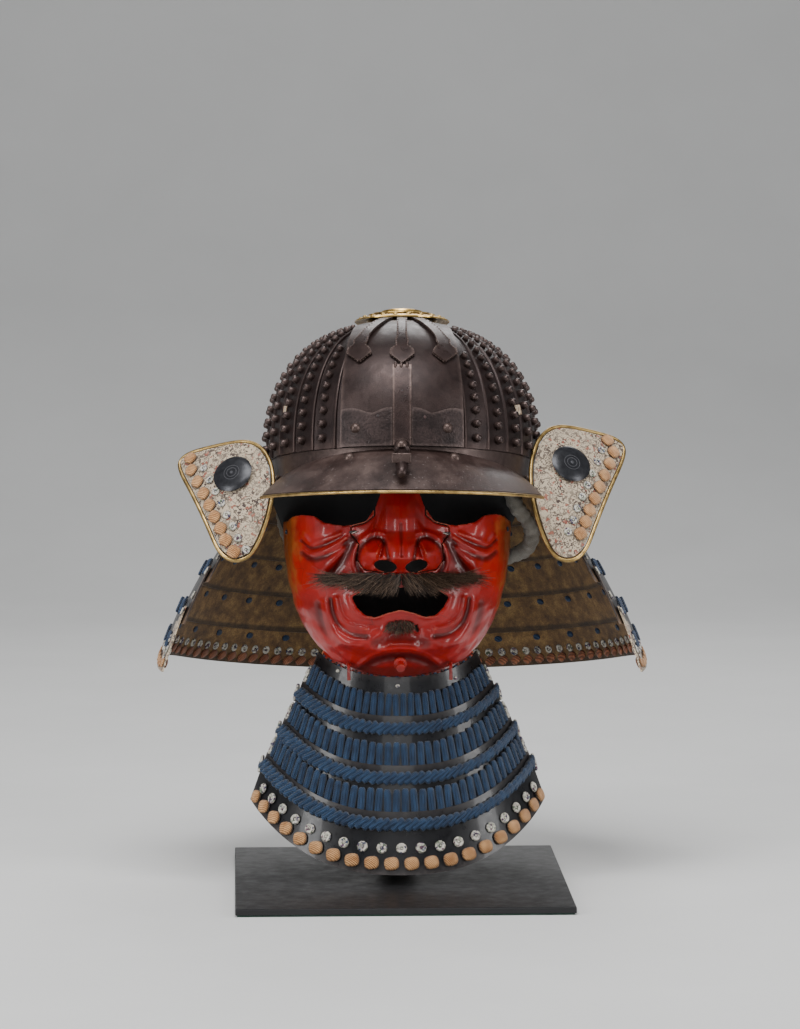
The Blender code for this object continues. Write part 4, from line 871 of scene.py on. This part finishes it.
def cell_edges(tree, where, scale):
    made = put(tree, "ShaderNodeTexVoronoi", {"Vector": where, "Scale": scale}, feature="DISTANCE_TO_EDGE")
    return made.outputs["Distance"]


red, tree, shader = new_finish(
    "red_lacquer", Roughness=0.4, Coat_Weight=0.3, Coat_Roughness=0.08, Specular_IOR_Level=0.28
)
where = object_place(tree)
parts = put(tree, "ShaderNodeSeparateXYZ", {"Vector": where}).outputs
deep = patchy(tree, 34.0, 5.0, (0.19, 0.0045, 0.004), (0.36, 0.0085, 0.006), 0.32, 0.62)
side = maths(tree, "ABSOLUTE", parts["X"])
rub = maths(tree, "ADD", maths(tree, "MULTIPLY", speckle(tree, 60.0, 5.0), 0.035), side)
ear = ramp(tree, rub, (0.1005, 0.0), (0.1035, 1.0))
tone = mixed(tree, ear, deep, (0.32, 0.070, 0.014))
# Painted shade: the hollows of the folds are darkened by their depth.
worked = attribute(tree, "worked")
height = maths(tree, "ADD", maths(tree, "MULTIPLY", worked, 0.25), 0.5)
tone = shaded(tree, 0.85, tone, height, (0.10, 0.15), (0.36, 0.55), (0.48, 1.0))
tone = mixed(tree, worn(tree, 0.535, 0.60, 260.0), tone, (0.52, 0.19, 0.10))
# Painted shade: the mask is darkened below the chin, by height.
level = maths(tree, "ADD", parts["Z"], maths(tree, "MULTIPLY", speckle(tree, 120.0), 0.012))
below = ramp(tree, level, (0.184, 1.0), (0.189, 0.0))
tone = mixed(tree, maths(tree, "MULTIPLY", below, 0.75), tone, (0.11, 0.010, 0.007))
cracks = cell_edges(tree, where, 46.0)
crack = maths(
    tree, "MULTIPLY", ramp(tree, cracks, (0.0, 1.0), (0.012, 0.0)),
    patchy(tree, 25.0, 3.0, 0.0, 0.8, 0.54, 0.62)
)
feed(tree, shader, Base_Color=mixed(tree, crack, tone, (0.06, 0.008, 0.006)))
roughen(tree, shader, 160.0, 6.0, 0.30, 0.50)
bump(tree, shader, speckle(tree, 320.0, 3.0), 0.0004, 0.12)
dress(mask_shell, red, "red_lacquer", "face_mask")
dress(nose_shell, red, "red_lacquer", "nose_plate")
refine("chin_drain", "drain_tube", red, "red_lacquer", 2, 60.0)
for node in ("chin_hook_left", "chin_hook_right"):
    refine(node, node.replace("chin_hook", "cord_peg"), red, "red_lacquer", 2, 70.0)


def silk_finish(name, low, high, thread):
    """Braided silk: fine slanting threads over two tones, with a soft sheen, and painted shade between the
    threads and on each piece's low sides.
    """
    material, tree, shader = new_finish(name, Roughness=0.85, Sheen_Weight=0.25, Sheen_Roughness=0.4)
    threads = put(tree, "ShaderNodeTexWave", {
        "Vector": object_place(tree), "Scale": thread, "Distortion": 1.2, "Detail": 1.0, "Detail Scale": 1.5,
    }, wave_type="BANDS", bands_direction="DIAGONAL").outputs["Fac"]
    tone = mixed(tree, patchy(tree, 130.0, 4.0, 0.0, 1.0), low, high)
    # Painted shade: each lace, knot and pad is darkened towards its low sides, along crown.
    tone = shaded(tree, 1.0, tone, attribute(tree, "crown"), (0.50, 0.22), (0.92, 1.0))
    # Painted shade in the grooves between the threads.
    feed(tree, shader, Base_Color=shaded(tree, 0.75, tone, threads, (0.1, 0.28), (0.65, 1.0)))
    bump(tree, shader, threads, 0.0005, 0.9)
    return material


blue_silk = silk_finish("blue_silk", (0.006, 0.024, 0.074), (0.018, 0.064, 0.155), 330.0)
mask_tree = tree_of(mask_shell, nose_shell)
places = seats(mask_tree, ((287, 532), (507, 529)), 0.0006, (1.2, -1.2))
scatter("ear_knots", bead_pattern(0.0017, 1.5, 0.6), places, blue_silk, "blue_silk")

places = seats(mask_tree, ((353, 532), (447, 533.5)), -0.0002, (0.1, -0.1))
scatter("pin_slots", bead_pattern(0.0017, 2.6, 0.45), places, slot_dark, "red_lacquer")
pin_metal = iron_finish(
    "pin_metal", (0.20, 0.17, 0.15), (0.34, 0.30, 0.27), (0.6, 0.55, 0.5), 0.35, 900.0, 0.9
)
places = seats(mask_tree, ((355, 532.4), (445.5, 533.8)), 0.0006, (0.35, -0.35))
scatter("nose_pins", bead_pattern(0.0007, 5.0, 0.9), places, pin_metal, "dark_iron")


# Moustache and chin tuft: coarse dark hair set into the lip of the mask in locks.
# Each hair is a thin tapering strand that leaves the lip, bends outwards and droops to its tip.

hair, tree, shader = new_finish("brown_hair", Roughness=0.5, Specular_IOR_Level=0.4)
streak = speckle(tree, 420.0, 3.0)
HAIR_TONES = ((0.10, (0.010, 0.006, 0.004)), (0.55, (0.050, 0.030, 0.019)), (0.98, (0.24, 0.155, 0.10)))
tone = ramp(tree, attribute(tree, "pale"), *HAIR_TONES)
feed(tree, shader, Base_Color=shaded(tree, 0.4, tone, streak, (0.35, 0.5), (0.65, 1.0)))
bump(tree, shader, streak, 0.0002, 0.5)
chance = random.Random(7)


def strand(work, root, heading, fall, length, radius):
    """One hair: a three-sided strand of five rings that bends from its heading towards the fall.

    The attribute pale is chosen for each hair and rises towards its tip.
    """
    pale = work.verts.layers.float.get("pale") or work.verts.layers.float.new("pale")
    own = chance.uniform(0.0, 0.75)
    rings = []
    here = root.copy()
    steps = 4
    for i in range(steps + 1):
        share = i / steps
        along = (heading * (1.0 - 0.55 * share) + fall * (0.9 * share)).normalized()
        side = along.orthogonal().normalized()
        other = along.cross(side)
        reach = radius * (1.0 - 0.85 * share)
        ring = []
        for turn in (0.0, 2.094, 4.189):
            ring.append(work.verts.new(here + (side * math.cos(turn) + other * math.sin(turn)) * reach))
            ring[-1][pale] = own + 0.25 * share
        rings.append(ring)
        wander = Vector((chance.uniform(-1, 1), 0, chance.uniform(-1, 1)))
        here = here + along * (length / steps) + wander * (0.0005 * share)
    for a, b in zip(rings, rings[1:]):
        for k in range(3):
            m = (k + 1) % 3
            work.faces.new((a[k], a[m], b[m], b[k]))
    work.faces.new(rings[0][::-1])
    work.faces.new(rings[-1])


def lip_point(x, z, lift):
    """A point this far in front of the mask."""
    place = mask_tree.ray_cast(Vector((x, -0.3, z)), Vector((0, 1, 0)))[0] or Vector((x, -0.02, z))
    return place + Vector((0, -lift, 0))


MOUSTACHE_HAIRS, MOUSTACHE_HALF, MOUSTACHE_HEIGHT = 3000, 0.052, 0.2540
work = bmesh.new()
for i in range(MOUSTACHE_HAIRS):
    share = chance.uniform(-1.0, 1.0)
    side = 1.0 if share > 0 else -1.0
    out = abs(share)
    x = MOUSTACHE_HALF * share
    rise = chance.uniform(-1.0, 1.0)
    deep = (0.0044 + 0.0030 * math.sin(math.pi * min(1.0, 1.15 * out))) * (1.0 - 0.78 * out ** 3)
    z = MOUSTACHE_HEIGHT - 0.0020 * math.sin(math.pi * out) + rise * deep
    root = lip_point(x, z, 0.0015 + chance.uniform(0.0, 0.0055) * (1.0 - 0.5 * out))
    spread = min(1.0, 0.15 + 1.25 * out)
    stray = chance.gauss(0.0, 0.22)
    heading = Vector((side * (0.30 + 0.9 * spread), -0.42 + 0.15 * out, -0.85 + 0.75 * spread + stray))
    fall = Vector((side * (0.20 + 0.9 * spread), 0.05, -1.25 + 0.98 * spread + 1.4 * stray))
    length = chance.uniform(0.006, 0.013) + 0.018 * out ** 2 * chance.uniform(0.1, 1.0)
    strand(work, root, heading.normalized(), fall.normalized(), length, chance.uniform(0.00020, 0.00038))
dress(link_mesh("moustache_hair", work, 60.0), hair, "brown_hair", "moustache")
TUFT_HAIRS, TUFT_HALF, TUFT_RISE, TUFT_HEIGHT = 520, 0.0115, 0.0050, 0.2150
work = bmesh.new()
for i in range(TUFT_HAIRS):
    turn, reach = chance.uniform(0, math.tau), math.sqrt(chance.uniform(0, 1))
    x, z = TUFT_HALF * reach * math.cos(turn), TUFT_HEIGHT + TUFT_RISE * reach * math.sin(turn)
    root = lip_point(x, z, 0.0002)
    sideways = 0.5 * x / TUFT_HALF + chance.uniform(-0.3, 0.3)
    heading = Vector((sideways, -0.9, -0.5 + chance.uniform(-0.3, 0.3))).normalized()
    fall = Vector((0.9 * x / TUFT_HALF, 0.1, -0.9)).normalized()
    strand(work, root, heading, fall, chance.uniform(0.003, 0.0065), chance.uniform(0.0002, 0.0003))
dress(link_mesh("tuft_hair", work, 60.0), hair, "brown_hair", "chin_tuft")


# Turn-backs: the front ends of the neck guard's lames, turned out and faced with printed deerskin.
# A brass wire edges each, and a turned black boss, a row of orange knots and a row of white
# flower knots are laced through it.

# Cream deerskin under small scrolls of brown ink, with specks of red and blue.
CREAM = (0.58, 0.47, 0.33)
hide, tree, shader = new_finish("printed_deerskin", Roughness=0.72, Sheen_Weight=0.15)
where = object_place(tree)
sway = put(tree, "ShaderNodeTexNoise", {"Vector": where, "Scale": 160.0, "Detail": 2.0}).outputs["Color"]
bent = put(tree, "ShaderNodeMix", {0: 0.020}, data_type="VECTOR")
tree.links.new(where, bent.inputs[4])
tree.links.new(sway, bent.inputs[5])
curls = put(tree, "ShaderNodeTexVoronoi", {"Vector": bent.outputs[1], "Scale": 150.0}).outputs["Distance"]
rings = maths(tree, "SINE", maths(tree, "MULTIPLY", curls, 14.0))
lines = ramp(tree, rings, (0.08, 0.0), (0.36, 1.0))
faint = patchy(tree, 75.0, 3.0, 0.55, 1.0, 0.38, 0.60)
cream = patchy(tree, 60.0, 5.0, tuple(0.72 * v for v in CREAM), CREAM)
tone = mixed(tree, maths(tree, "MULTIPLY", lines, faint), cream, (0.042, 0.021, 0.012))
tone = mixed(tree, patchy(tree, 240.0, 1.0, 0.0, 0.8, 0.63, 0.66), tone, (0.26, 0.050, 0.022))
specks = ramp(tree, speckle(tree, 200.0, 1.0, 0.5, sway), (0.62, 0.0), (0.65, 0.85))
tone = mixed(tree, specks, tone, (0.016, 0.032, 0.085))
feed(tree, shader, Base_Color=tone)
bump(tree, shader, speckle(tree, 1100.0, 3.0), 0.0004, 0.5)
orange_silk = silk_finish("orange_silk", (0.42, 0.18, 0.060), (0.80, 0.44, 0.19), 300.0)
white_silk, tree, shader = new_finish("flower_silk", Roughness=0.85, Sheen_Weight=0.2)
cells = put(tree, "ShaderNodeTexVoronoi", {"Vector": object_place(tree), "Scale": 620.0}).outputs["Color"]
hue = put(tree, "ShaderNodeSeparateColor", {"Color": cells}).outputs["Red"]
crown = attribute(tree, "crown")
tone = ramp(
    tree, hue, (0.0, (0.55, 0.52, 0.44)), (0.40, (0.58, 0.55, 0.48)), (0.46, (0.05, 0.09, 0.045)),
    (0.58, (0.50, 0.47, 0.39)), (0.68, (0.09, 0.025, 0.065)), (0.80, (0.020, 0.035, 0.085)),
    (0.90, (0.45, 0.42, 0.36)),
)
# Painted shade: each flower knot is darkened towards its low sides, along crown.
feed(tree, shader, Base_Color=shaded(tree, 1.0, tone, crown, (0.35, 0.15), (0.85, 1.0)))
bump(tree, shader, speckle(tree, 900.0), 0.0004, 0.6)


def ring_pattern(outer, thick):
    """A flower knot: a plump ring with a bead in its middle."""
    bpy.ops.mesh.primitive_torus_add(
        major_segments=10, minor_segments=5, major_radius=outer - thick, minor_radius=thick
    )
    ring = bpy.context.object
    bead = bead_pattern(thick * 0.9, 1.0, 0.9)
    ring.select_set(True)
    bpy.context.view_layer.objects.active = ring
    bpy.ops.object.join()
    ring.data.transform(Matrix.Diagonal((1.0, 1.0, 0.75, 1.0)))
    return ring


# Columns: side, the pixel row of the topmost knot, the pixels searched for the edge, the way inwards.
TURN_BACKS = (("left", 459.0, 165.0, 300.0, 1.0), ("right", 441.0, 520.0, 640.0, -1.0))
KNOT_ROWS, KNOT_PITCH, KNOT_IN, FLOWER_IN = 9, 11.6, 9.0, 21.0
for side, top_row, first, last, inwards in TURN_BACKS:
    node = f"turn_back_{side}"
    skin = refine(node, f"turned_lame_{side}", hide, "printed_leather", 2, 50.0)
    refine(f"{node}_rim", f"turned_wire_{side}", brass, "gilt", 2, 80.0, 60.0)
    low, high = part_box(f"{node}_boss")
    centre = 0.5 * (low + high)
    black, tree, shader = new_finish(f"boss_black_{side}", Roughness=0.3, Metallic=0.5)
    ends = {0: object_place(tree), 1: tuple(centre)}
    away = put(tree, "ShaderNodeVectorMath", ends, operation="DISTANCE").outputs["Value"]
    grooves = maths(tree, "SINE", maths(tree, "MULTIPLY", away, 2900.0))
    near = ramp(tree, maths(tree, "MULTIPLY", away, 100.0), (0.80, 1.0), (0.86, 0.0))
    rings = maths(tree, "MULTIPLY", ramp(tree, grooves, (0.55, 0.0), (0.9, 1.0)), near)
    base = patchy(tree, 200.0, 4.0, (0.014, 0.014, 0.017), (0.036, 0.037, 0.042))
    feed(tree, shader, Base_Color=mixed(tree, rings, base, (0.10, 0.10, 0.11)))
    bump(tree, shader, rings, 0.0006, 0.8)
    refine(f"{node}_boss", f"turned_boss_{side}", black, "dark_iron", 2, 60.0)
    skin_tree = tree_of(skin)
    knots, flowers = [], []
    for k in range(KNOT_ROWS):
        v = top_row + KNOT_PITCH * k
        ends = edge_pixels(skin_tree, v, first, last, 1.0)
        if not ends:
            continue
        u = ends[0] if side == "left" else ends[1]
        knots += seats(skin_tree, ((u + KNOT_IN * inwards, v),), 0.0008, (-0.4 * inwards,))
        if k > 0:
            flowers += seats(skin_tree, ((u + FLOWER_IN * inwards, v - 2.0),), 0.0008)
    scatter(f"orange_knots_{side}", bead_pattern(0.0058, 1.08, 0.42, 0.22), knots, orange_silk, "blue_silk")
    scatter(f"flower_knots_{side}", ring_pattern(0.0036, 0.0012), flowers, white_silk, "blue_silk")


# Neck guard: five iron lames in dark lacquer outside and gold-brown smoked leather inside.
# Pairs of blue silk laces hang each lame from the one above, and the lowest has a row of
# flower knots and a row of orange knots along its edge, with plain pads where they end inside.

LAME_COUNT, LAME_SHARE = 5, 0.2
NECK = {"width": 0.1103, "back": 0.1248, "flare": 0.079, "back_flare": 0.072, "top": 0.016, "drop": 0.138}


def tip_degrees(share):
    """How far round from the front a lame ends, at a share of the neck guard's drop."""
    return 64.0 + 12.0 * share


def neck_point(turn, share, proud):
    """A point of the neck guard in the helmet's frame: turn from the front, share of the drop."""
    bulge = 1.0 + 0.08 * math.sin(math.pi * share)
    width = NECK["width"] + NECK["flare"] * share * bulge + proud
    back = NECK["back"] + NECK["back_flare"] * share * bulge + proud
    near = (math.radians(tip_degrees(share)) + math.radians(26.0) - abs(turn)) / math.radians(26.0)
    near = min(max(near, 0.0), 1.0)
    height = -NECK["top"] - NECK["drop"] * share
    height -= 0.022 * near * near * (3.0 - 2.0 * near) * share ** 3
    height -= 0.004 * share * (0.5 - 0.5 * math.cos(turn)) ** 3
    return Vector((width * math.sin(turn), -back * math.cos(turn), height))


lame_lacquer, tree, shader = new_finish(
    "lame_lacquer", Coat_Weight=0.2, Coat_Roughness=0.12, Specular_IOR_Level=0.35
)
tone = patchy(tree, 70.0, 5.0, (0.012, 0.010, 0.011), (0.028, 0.023, 0.024))
feed(tree, shader, Base_Color=mixed(tree, worn(tree, 0.53, 0.60), tone, (0.17, 0.11, 0.07)))
roughen(tree, shader, 150.0, 5.0, 0.28, 0.44)
bump(tree, shader, speckle(tree, 420.0, 3.0), 0.0003, 0.15)
smoked, tree, shader = new_finish("smoked_leather", Roughness=0.62)
tone = ramp(
    tree, speckle(tree, 90.0, 7.0, 0.7), (0.30, (0.050, 0.024, 0.009)), (0.50, (0.20, 0.105, 0.032)),
    (0.70, (0.40, 0.235, 0.075))
)
wrinkle = cell_edges(tree, object_place(tree), 520.0)
# Painted shadow: the leather inside each lame is darkened near its top and bottom edges, where the lames
# overlap.
climb = attribute(tree, "climb")
tone = shaded(tree, 0.85, tone, climb, (0.0, 0.35), (0.10, 1.0), (0.90, 1.0), (0.965, 0.22))
feed(tree, shader, Base_Color=shaded(tree, 0.7, tone, wrinkle, (0.0, 0.35), (0.10, 1.0)))
bump(tree, shader, wrinkle, 0.0005, 0.5)
lames = []
back = HELMET.inverted()
for index in range(1, LAME_COUNT + 1):
    lame = finer(f"neck_lame_{index}", f"iron_lame_{index}", 2, 35.0)
    lame.data.materials.clear()
    for finish in (lame_lacquer, smoked, hide):
        lame.data.materials.append(finish)
    for face in lame.data.polygons:
        here = back @ face.center
        out = Vector((here.x, here.y, 0.0)).normalized()
        facing = (back.to_3x3() @ face.normal).dot(out)
        turn = abs(math.atan2(here.x / NECK["width"], -here.y / NECK["back"]))
        share = (-NECK["top"] - here.z) / NECK["drop"]
        if facing < -0.25:
            face.material_index = 1
        elif index == LAME_COUNT and turn < math.radians(tip_degrees(share) + 5.0):
            face.material_index = 2
    # climb runs from 0 at each lame's top to 1 at its bottom, for the painted shadow at its edges.
    climb = lame.data.attributes.new("climb", "FLOAT", "POINT")
    for vert, value in zip(lame.data.vertices, climb.data):
        value.value = (-NECK["top"] - (back @ vert.co).z) / NECK["drop"] * LAME_COUNT - index + 1
    lames.append(lame)
    dress(lame, None, "black_lacquer", f"neck_lame_{index}")


def lace_pattern(half_width, half_length, half_thick):
    """A flat silk lace, round at its ends, lying along Y."""
    bpy.ops.mesh.primitive_cylinder_add(vertices=8, radius=1.0, depth=2.0, rotation=(math.pi / 2, 0, 0))
    lace = bpy.context.object
    bpy.ops.object.transform_apply(location=False, rotation=True, scale=False)
    pick(lace.data, "polygons", lambda face: abs(face.normal.y) > 0.9)
    bpy.ops.mesh.select_mode(type="FACE")
    bpy.ops.mesh.bevel(offset=0.42, segments=3)
    bpy.ops.mesh.select_mode(type="VERT")
    mode("OBJECT")
    lace.data.transform(Matrix.Diagonal((half_width, half_length, half_thick, 1.0)))
    bpy.ops.object.shade_smooth()
    return lace


lame_tree = tree_of(*lames)


def neck_spot(turn, share, lift, inward=False, spin=0.0):
    """A matrix that lays a pattern on the neck guard: turn from the front, share of the drop."""
    outer = HELMET @ neck_point(turn, share, 0.030)
    inner = HELMET @ neck_point(turn, share, -0.030)
    start, aim = (inner, outer - inner) if inward else (outer, inner - outer)
    return seat_on(lame_tree, start, aim.normalized(), lean @ Vector((0, 0, 1)), lift, spin)


def near_turn(degrees):
    """A turn from the front in radians, from -pi to pi."""
    turn = math.radians(degrees)
    return turn if turn < math.pi else turn - math.tau


places = []
for index in range(LAME_COUNT):
    end = LAME_SHARE * (index + 1)
    tip = tip_degrees(end - 0.1)
    up = 0.085 if index < LAME_COUNT - 1 else 0.135
    for k in range(19):
        for shift in (-1.25, 1.25):
            turn = near_turn(tip + 4.5 + (351.0 - 2 * tip) * k / 18 + shift)
            places.append(neck_spot(turn, end - up, 0.0006))
scatter("neck_laces", lace_pattern(0.0024, 0.0070, 0.0018), places, blue_silk, "blue_silk")
places = []
for index in range(LAME_COUNT):
    for k in range(17):
        turn = near_turn(84.0 + 192.0 * (k + 0.5 * (index % 2)) / 16.5)
        places.append(neck_spot(turn, LAME_SHARE * index + 0.035, 0.0001, True))
scatter("lace_ends", bead_pattern(0.0034, 1.3, 0.3), places, blue_silk, "blue_silk")
flowers, oranges, pads, rings = [], [], [], []
KNOT_COUNT = 60
for k in range(KNOT_COUNT):
    turn = near_turn(74.0 + 212.0 * (k + 0.5) / KNOT_COUNT)
    flowers.append(neck_spot(turn, 0.905, 0.0006))
    oranges.append(neck_spot(turn, 0.962, 0.0006))
    rings.append(neck_spot(turn, 0.912, 0.0003, True))
    pads.append(neck_spot(turn, 0.962, 0.0003, True, 0.55))
scatter("flower_knots_neck", ring_pattern(0.0037, 0.0012), flowers, white_silk, "blue_silk")
scatter("orange_knots_neck", bead_pattern(0.0044, 1.12, 0.36, 0.22), oranges, orange_silk, "blue_silk")
scatter("ring_knots_inside", ring_pattern(0.0038, 0.0013), rings, white_silk, "blue_silk")
rust_silk = silk_finish("rust_silk", (0.24, 0.072, 0.030), (0.50, 0.19, 0.090), 300.0)
scatter("rust_pads_inside", bead_pattern(0.0041, 1.45, 0.42, 0.18), pads, rust_silk, "blue_silk")
wraps = []
for index in range(LAME_COUNT):
    turn = math.radians(tip_degrees(LAME_SHARE * index + 0.1) + 2.2)
    for side in (-1, 1):
        for step in (0.06, 0.14):
            wraps.append(neck_spot(side * turn, LAME_SHARE * index + step, 0.0004, False, 0.5 * side))
scatter("edge_wraps", lace_pattern(0.0015, 0.0036, 0.0013), wraps, white_silk, "blue_silk")


# Throat guard: four black-lacquered lames that hang from the mask on blue silk.
# Upright laces stand close together across each lip, a thick twisted braid lies under each,
# and flower knots and orange knots run along the lowest lame.

THROAT_HEIGHT, THROAT_LIFT, THROAT_WALL = 0.154, 0.0042, 0.0014
THROAT_LIPS = (0.0, 0.196, 0.446, 0.678, 1.0)
THROAT_END = 0.985


def throat_point(across, drop, proud):
    """A point of the throat guard: across from -1 to 1, drop from 0 at its top to 1."""
    reach = math.radians(80.0)
    turn = reach * across
    width = (0.064 + 0.0435 * drop) / math.sin(reach)
    rise = (0.016 + 0.033 * drop) * abs(math.sin(turn) / math.sin(reach)) ** 2.7
    sink = (1.0 - math.cos(turn)) / (1.0 - math.cos(reach))
    return Vector((
        (width + proud) * math.sin(turn),
        0.004 - 0.037 * drop + (0.038 + 0.035 * drop) * sink - proud * math.cos(turn),
        0.0155 + THROAT_HEIGHT * (1.0 - drop) + rise,
    ))


def throat_spot(across, drop, proud, spin=0.0):
    here = throat_point(across, drop, proud)
    along = (throat_point(across + 0.02, drop, proud) - throat_point(across - 0.02, drop, proud)).normalized()
    up = (throat_point(across, drop - 0.02, proud) - throat_point(across, drop + 0.02, proud)).normalized()
    out = along.cross(up).normalized()
    if out.dot(Vector((math.sin(1.4 * across), -math.cos(1.4 * across), 0.0))) < 0:
        out = -out
    side = up.cross(out).normalized()
    up = out.cross(side)
    turned = Matrix((side, up, out)).transposed().to_4x4()
    return Matrix.Translation(here) @ turned @ Matrix.Rotation(spin, 4, "Z")


def even_across(count, drop, proud, margin=0.0):
    """Places across a lip, evenly spaced along its run."""
    fine = [throat_point(-1.0 + 2.0 * i / 400, drop, proud) for i in range(401)]
    run = [0.0]
    for a, b in zip(fine, fine[1:]):
        run.append(run[-1] + (b - a).length)
    spots, i = [], 0
    for k in range(count):
        want = margin + (run[-1] - 2 * margin) * (k + 0.5) / count
        while run[i + 1] < want:
            i += 1
        share = (want - run[i]) / (run[i + 1] - run[i])
        spots.append(-1.0 + 2.0 * (i + share) / 400)
    return spots, (run[-1] - 2 * margin) / count


throat_lacquer, tree, shader = new_finish(
    "throat_lacquer", Coat_Weight=0.2, Coat_Roughness=0.06, Specular_IOR_Level=0.3
)
tone = patchy(tree, 80.0, 5.0, (0.004, 0.004, 0.005), (0.010, 0.010, 0.012))
feed(tree, shader, Base_Color=mixed(tree, worn(tree, 0.54, 0.62), tone, (0.10, 0.085, 0.08)))
roughen(tree, shader, 170.0, 5.0, 0.24, 0.40)
bump(tree, shader, speckle(tree, 420.0, 3.0), 0.0003, 0.12)
for index in range(1, 5):
    refine(f"throat_lame_{index}", f"throat_plate_{index}", throat_lacquer, "black_lacquer", 2, 40.0)
throat_blue = silk_finish("throat_blue", (0.007, 0.023, 0.062), (0.022, 0.066, 0.150), 330.0)
wraps = []
# Columns: lame, its upright laces, the strands of its braid.
for index, count, strands in ((1, 30, 40), (2, 34, 46), (3, 38, 52)):
    lip = THROAT_LIPS[index]
    below = (index - 1) * THROAT_LIFT + THROAT_WALL
    spots, pitch = even_across(count, lip - 0.05, below, 0.004)
    places = []
    for k, across in enumerate(spots):
        tilt = 0.05 * math.sin(k * 2.3) + 0.10 * across
        size = 1.0 + 0.05 * math.sin(k * 1.7)
        spot = throat_spot(across, lip - 0.0485, below + 0.0014, tilt)
        places.append(spot @ Matrix.Diagonal((pitch / 0.0050, size, 1.0, 1.0)))
    lace = lace_pattern(0.0025, 0.0104, 0.0024)
    scatter(f"upright_laces_{index}", lace, places, throat_blue, "blue_silk", f"throat_laces_{index}")
    on_lame = index * THROAT_LIFT + THROAT_WALL
    drop = lip + 0.0098 / THROAT_HEIGHT
    spots, pitch = even_across(strands, drop, on_lame, 0.003)
    places = []
    for k, across in enumerate(spots):
        spot = throat_spot(across, drop, on_lame + 0.0014, -0.85 if k % 2 else -1.0)
        places.append(spot @ Matrix.Diagonal((pitch / 0.0040, 1.0, 1.0, 1.0)))
    braid = lace_pattern(0.0024, 0.0068, 0.0030)
    scatter(f"twisted_braid_{index}", braid, places, throat_blue, "blue_silk", f"throat_braid_{index}")
    for side in (-1, 1):
        for step in (-0.075, -0.035, 0.005):
            wraps.append(throat_spot(side * THROAT_END, lip + step, below + 0.0024, 0.5 * side))
        wraps.append(throat_spot(side * THROAT_END, drop - 0.01, on_lame + 0.0022, -0.5 * side))
        wraps.append(throat_spot(side * THROAT_END, drop + 0.03, on_lame + 0.0022, -0.5 * side))
scatter("white_wraps", lace_pattern(0.0019, 0.0048, 0.0017), wraps, white_silk, "blue_silk")
on_lame = 3 * THROAT_LIFT + THROAT_WALL
spots = even_across(19, 0.865, on_lame, 0.010)[0]
places = [throat_spot(across, 0.862, on_lame + 0.0008) for across in spots]
scatter("flower_knots_throat", ring_pattern(0.0046, 0.0017), places, white_silk, "blue_silk")
spots = even_across(20, 0.94, on_lame, 0.004)[0]
places = [throat_spot(across, 0.940, on_lame + 0.0010, 0.15) for across in spots]
scatter("orange_knots_throat", bead_pattern(0.0060, 1.12, 0.45, 0.22), places, orange_silk, "blue_silk")


# The mask's lower flange: a strip of red lacquered sheet under the jaw, pierced with small holes.
# Blue and red laces run through it and hang the first throat lame, on three small studs.

FLANGE_REACH, FLANGE_SPANS, FLANGE_HOLES = 0.93, 60, 46
work = bmesh.new()
rows = []
for drop in (-0.050, -0.030, -0.012, 0.006):
    rows.append([
        [work.verts.new(throat_point(FLANGE_REACH * (2.0 * i / FLANGE_SPANS - 1.0), drop, proud))
         for i in range(FLANGE_SPANS + 1)]
        for proud in (-0.0004, -0.0016)
    ])
for (front, back), (below_front, below_back) in zip(rows, rows[1:]):
    for i in range(FLANGE_SPANS):
        work.faces.new((front[i], front[i + 1], below_front[i + 1], below_front[i]))
        work.faces.new((back[i], below_back[i], below_back[i + 1], back[i + 1]))
for front, back in (rows[0], rows[-1]):
    for i in range(FLANGE_SPANS):
        work.faces.new((front[i], front[i + 1], back[i + 1], back[i]))
for i in (0, FLANGE_SPANS):
    for (front, back), (below_front, below_back) in zip(rows, rows[1:]):
        work.faces.new((front[i], below_front[i], below_back[i], back[i]))
dress(link_mesh("mask_flange", work, 40.0), red, "red_lacquer")
holes, blues, reds = rows = ([], [], [])
for k in range(FLANGE_HOLES):
    across = -0.88 + 1.76 * k / (FLANGE_HOLES - 1)
    drop, proud = (-0.002, 0.0004) if k % 3 else (-0.006, 0.0)
    rows[k % 3].append(throat_spot(across, drop, proud))
scatter("flange_holes", bead_pattern(0.0011, 1.0, 0.4), holes, slot_dark, "red_lacquer")
scatter("flange_laces_blue", bead_pattern(0.0011, 1.6, 0.7), blues, blue_silk, "blue_silk")
scatter("flange_laces_red", bead_pattern(0.0011, 1.6, 0.7), reds, red, "blue_silk")
lame_top = tree_of(bpy.data.objects["throat_plate_1"])
places = seats(lame_top, ((338, 671), (397.6, 686), (455.6, 678)), 0.0004)
scatter("lace_studs", bead_pattern(0.0017, 1.3, 0.7), places, white_silk, "blue_silk")


# Stand: a plain black post and board on a thin steel plate, with felt glued beneath.
# The paint is satin, and scuffed where things have been set down and dragged.

paint, tree, shader = new_finish("black_paint", Roughness=0.42)
scuff = put(tree, "ShaderNodeMapping", {
    "Vector": object_place(tree), "Rotation": (0.0, 0.0, 0.5), "Scale": (1.0, 14.0, 1.0),
}).outputs["Vector"]
marks = ramp(tree, speckle(tree, 22.0, 8.0, 0.75, scuff), (0.58, 0.0), (0.70, 1.0))
base = patchy(tree, 40.0, 4.0, (0.005, 0.005, 0.006), (0.009, 0.009, 0.010))
feed(tree, shader, Base_Color=mixed(tree, maths(tree, "MULTIPLY", marks, 0.22), base, (0.07, 0.07, 0.07)))
roughen(tree, shader, 90.0, 6.0, 0.34, 0.52)
bump(tree, shader, speckle(tree, 900.0, 2.0), 0.0002, 0.25)
felt, tree, shader = new_finish("green_felt", Roughness=0.95, Sheen_Weight=0.4)
feed(tree, shader, Base_Color=patchy(tree, 800.0, 3.0, (0.010, 0.035, 0.024), (0.024, 0.070, 0.048)))
bump(tree, shader, speckle(tree, 1500.0, 3.0), 0.0004, 0.8)
for node, finish in (("base_plate", paint), ("stand_post", paint), ("base_felt", felt)):
    for slot_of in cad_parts[node].material_slots:
        slot_of.material = finish
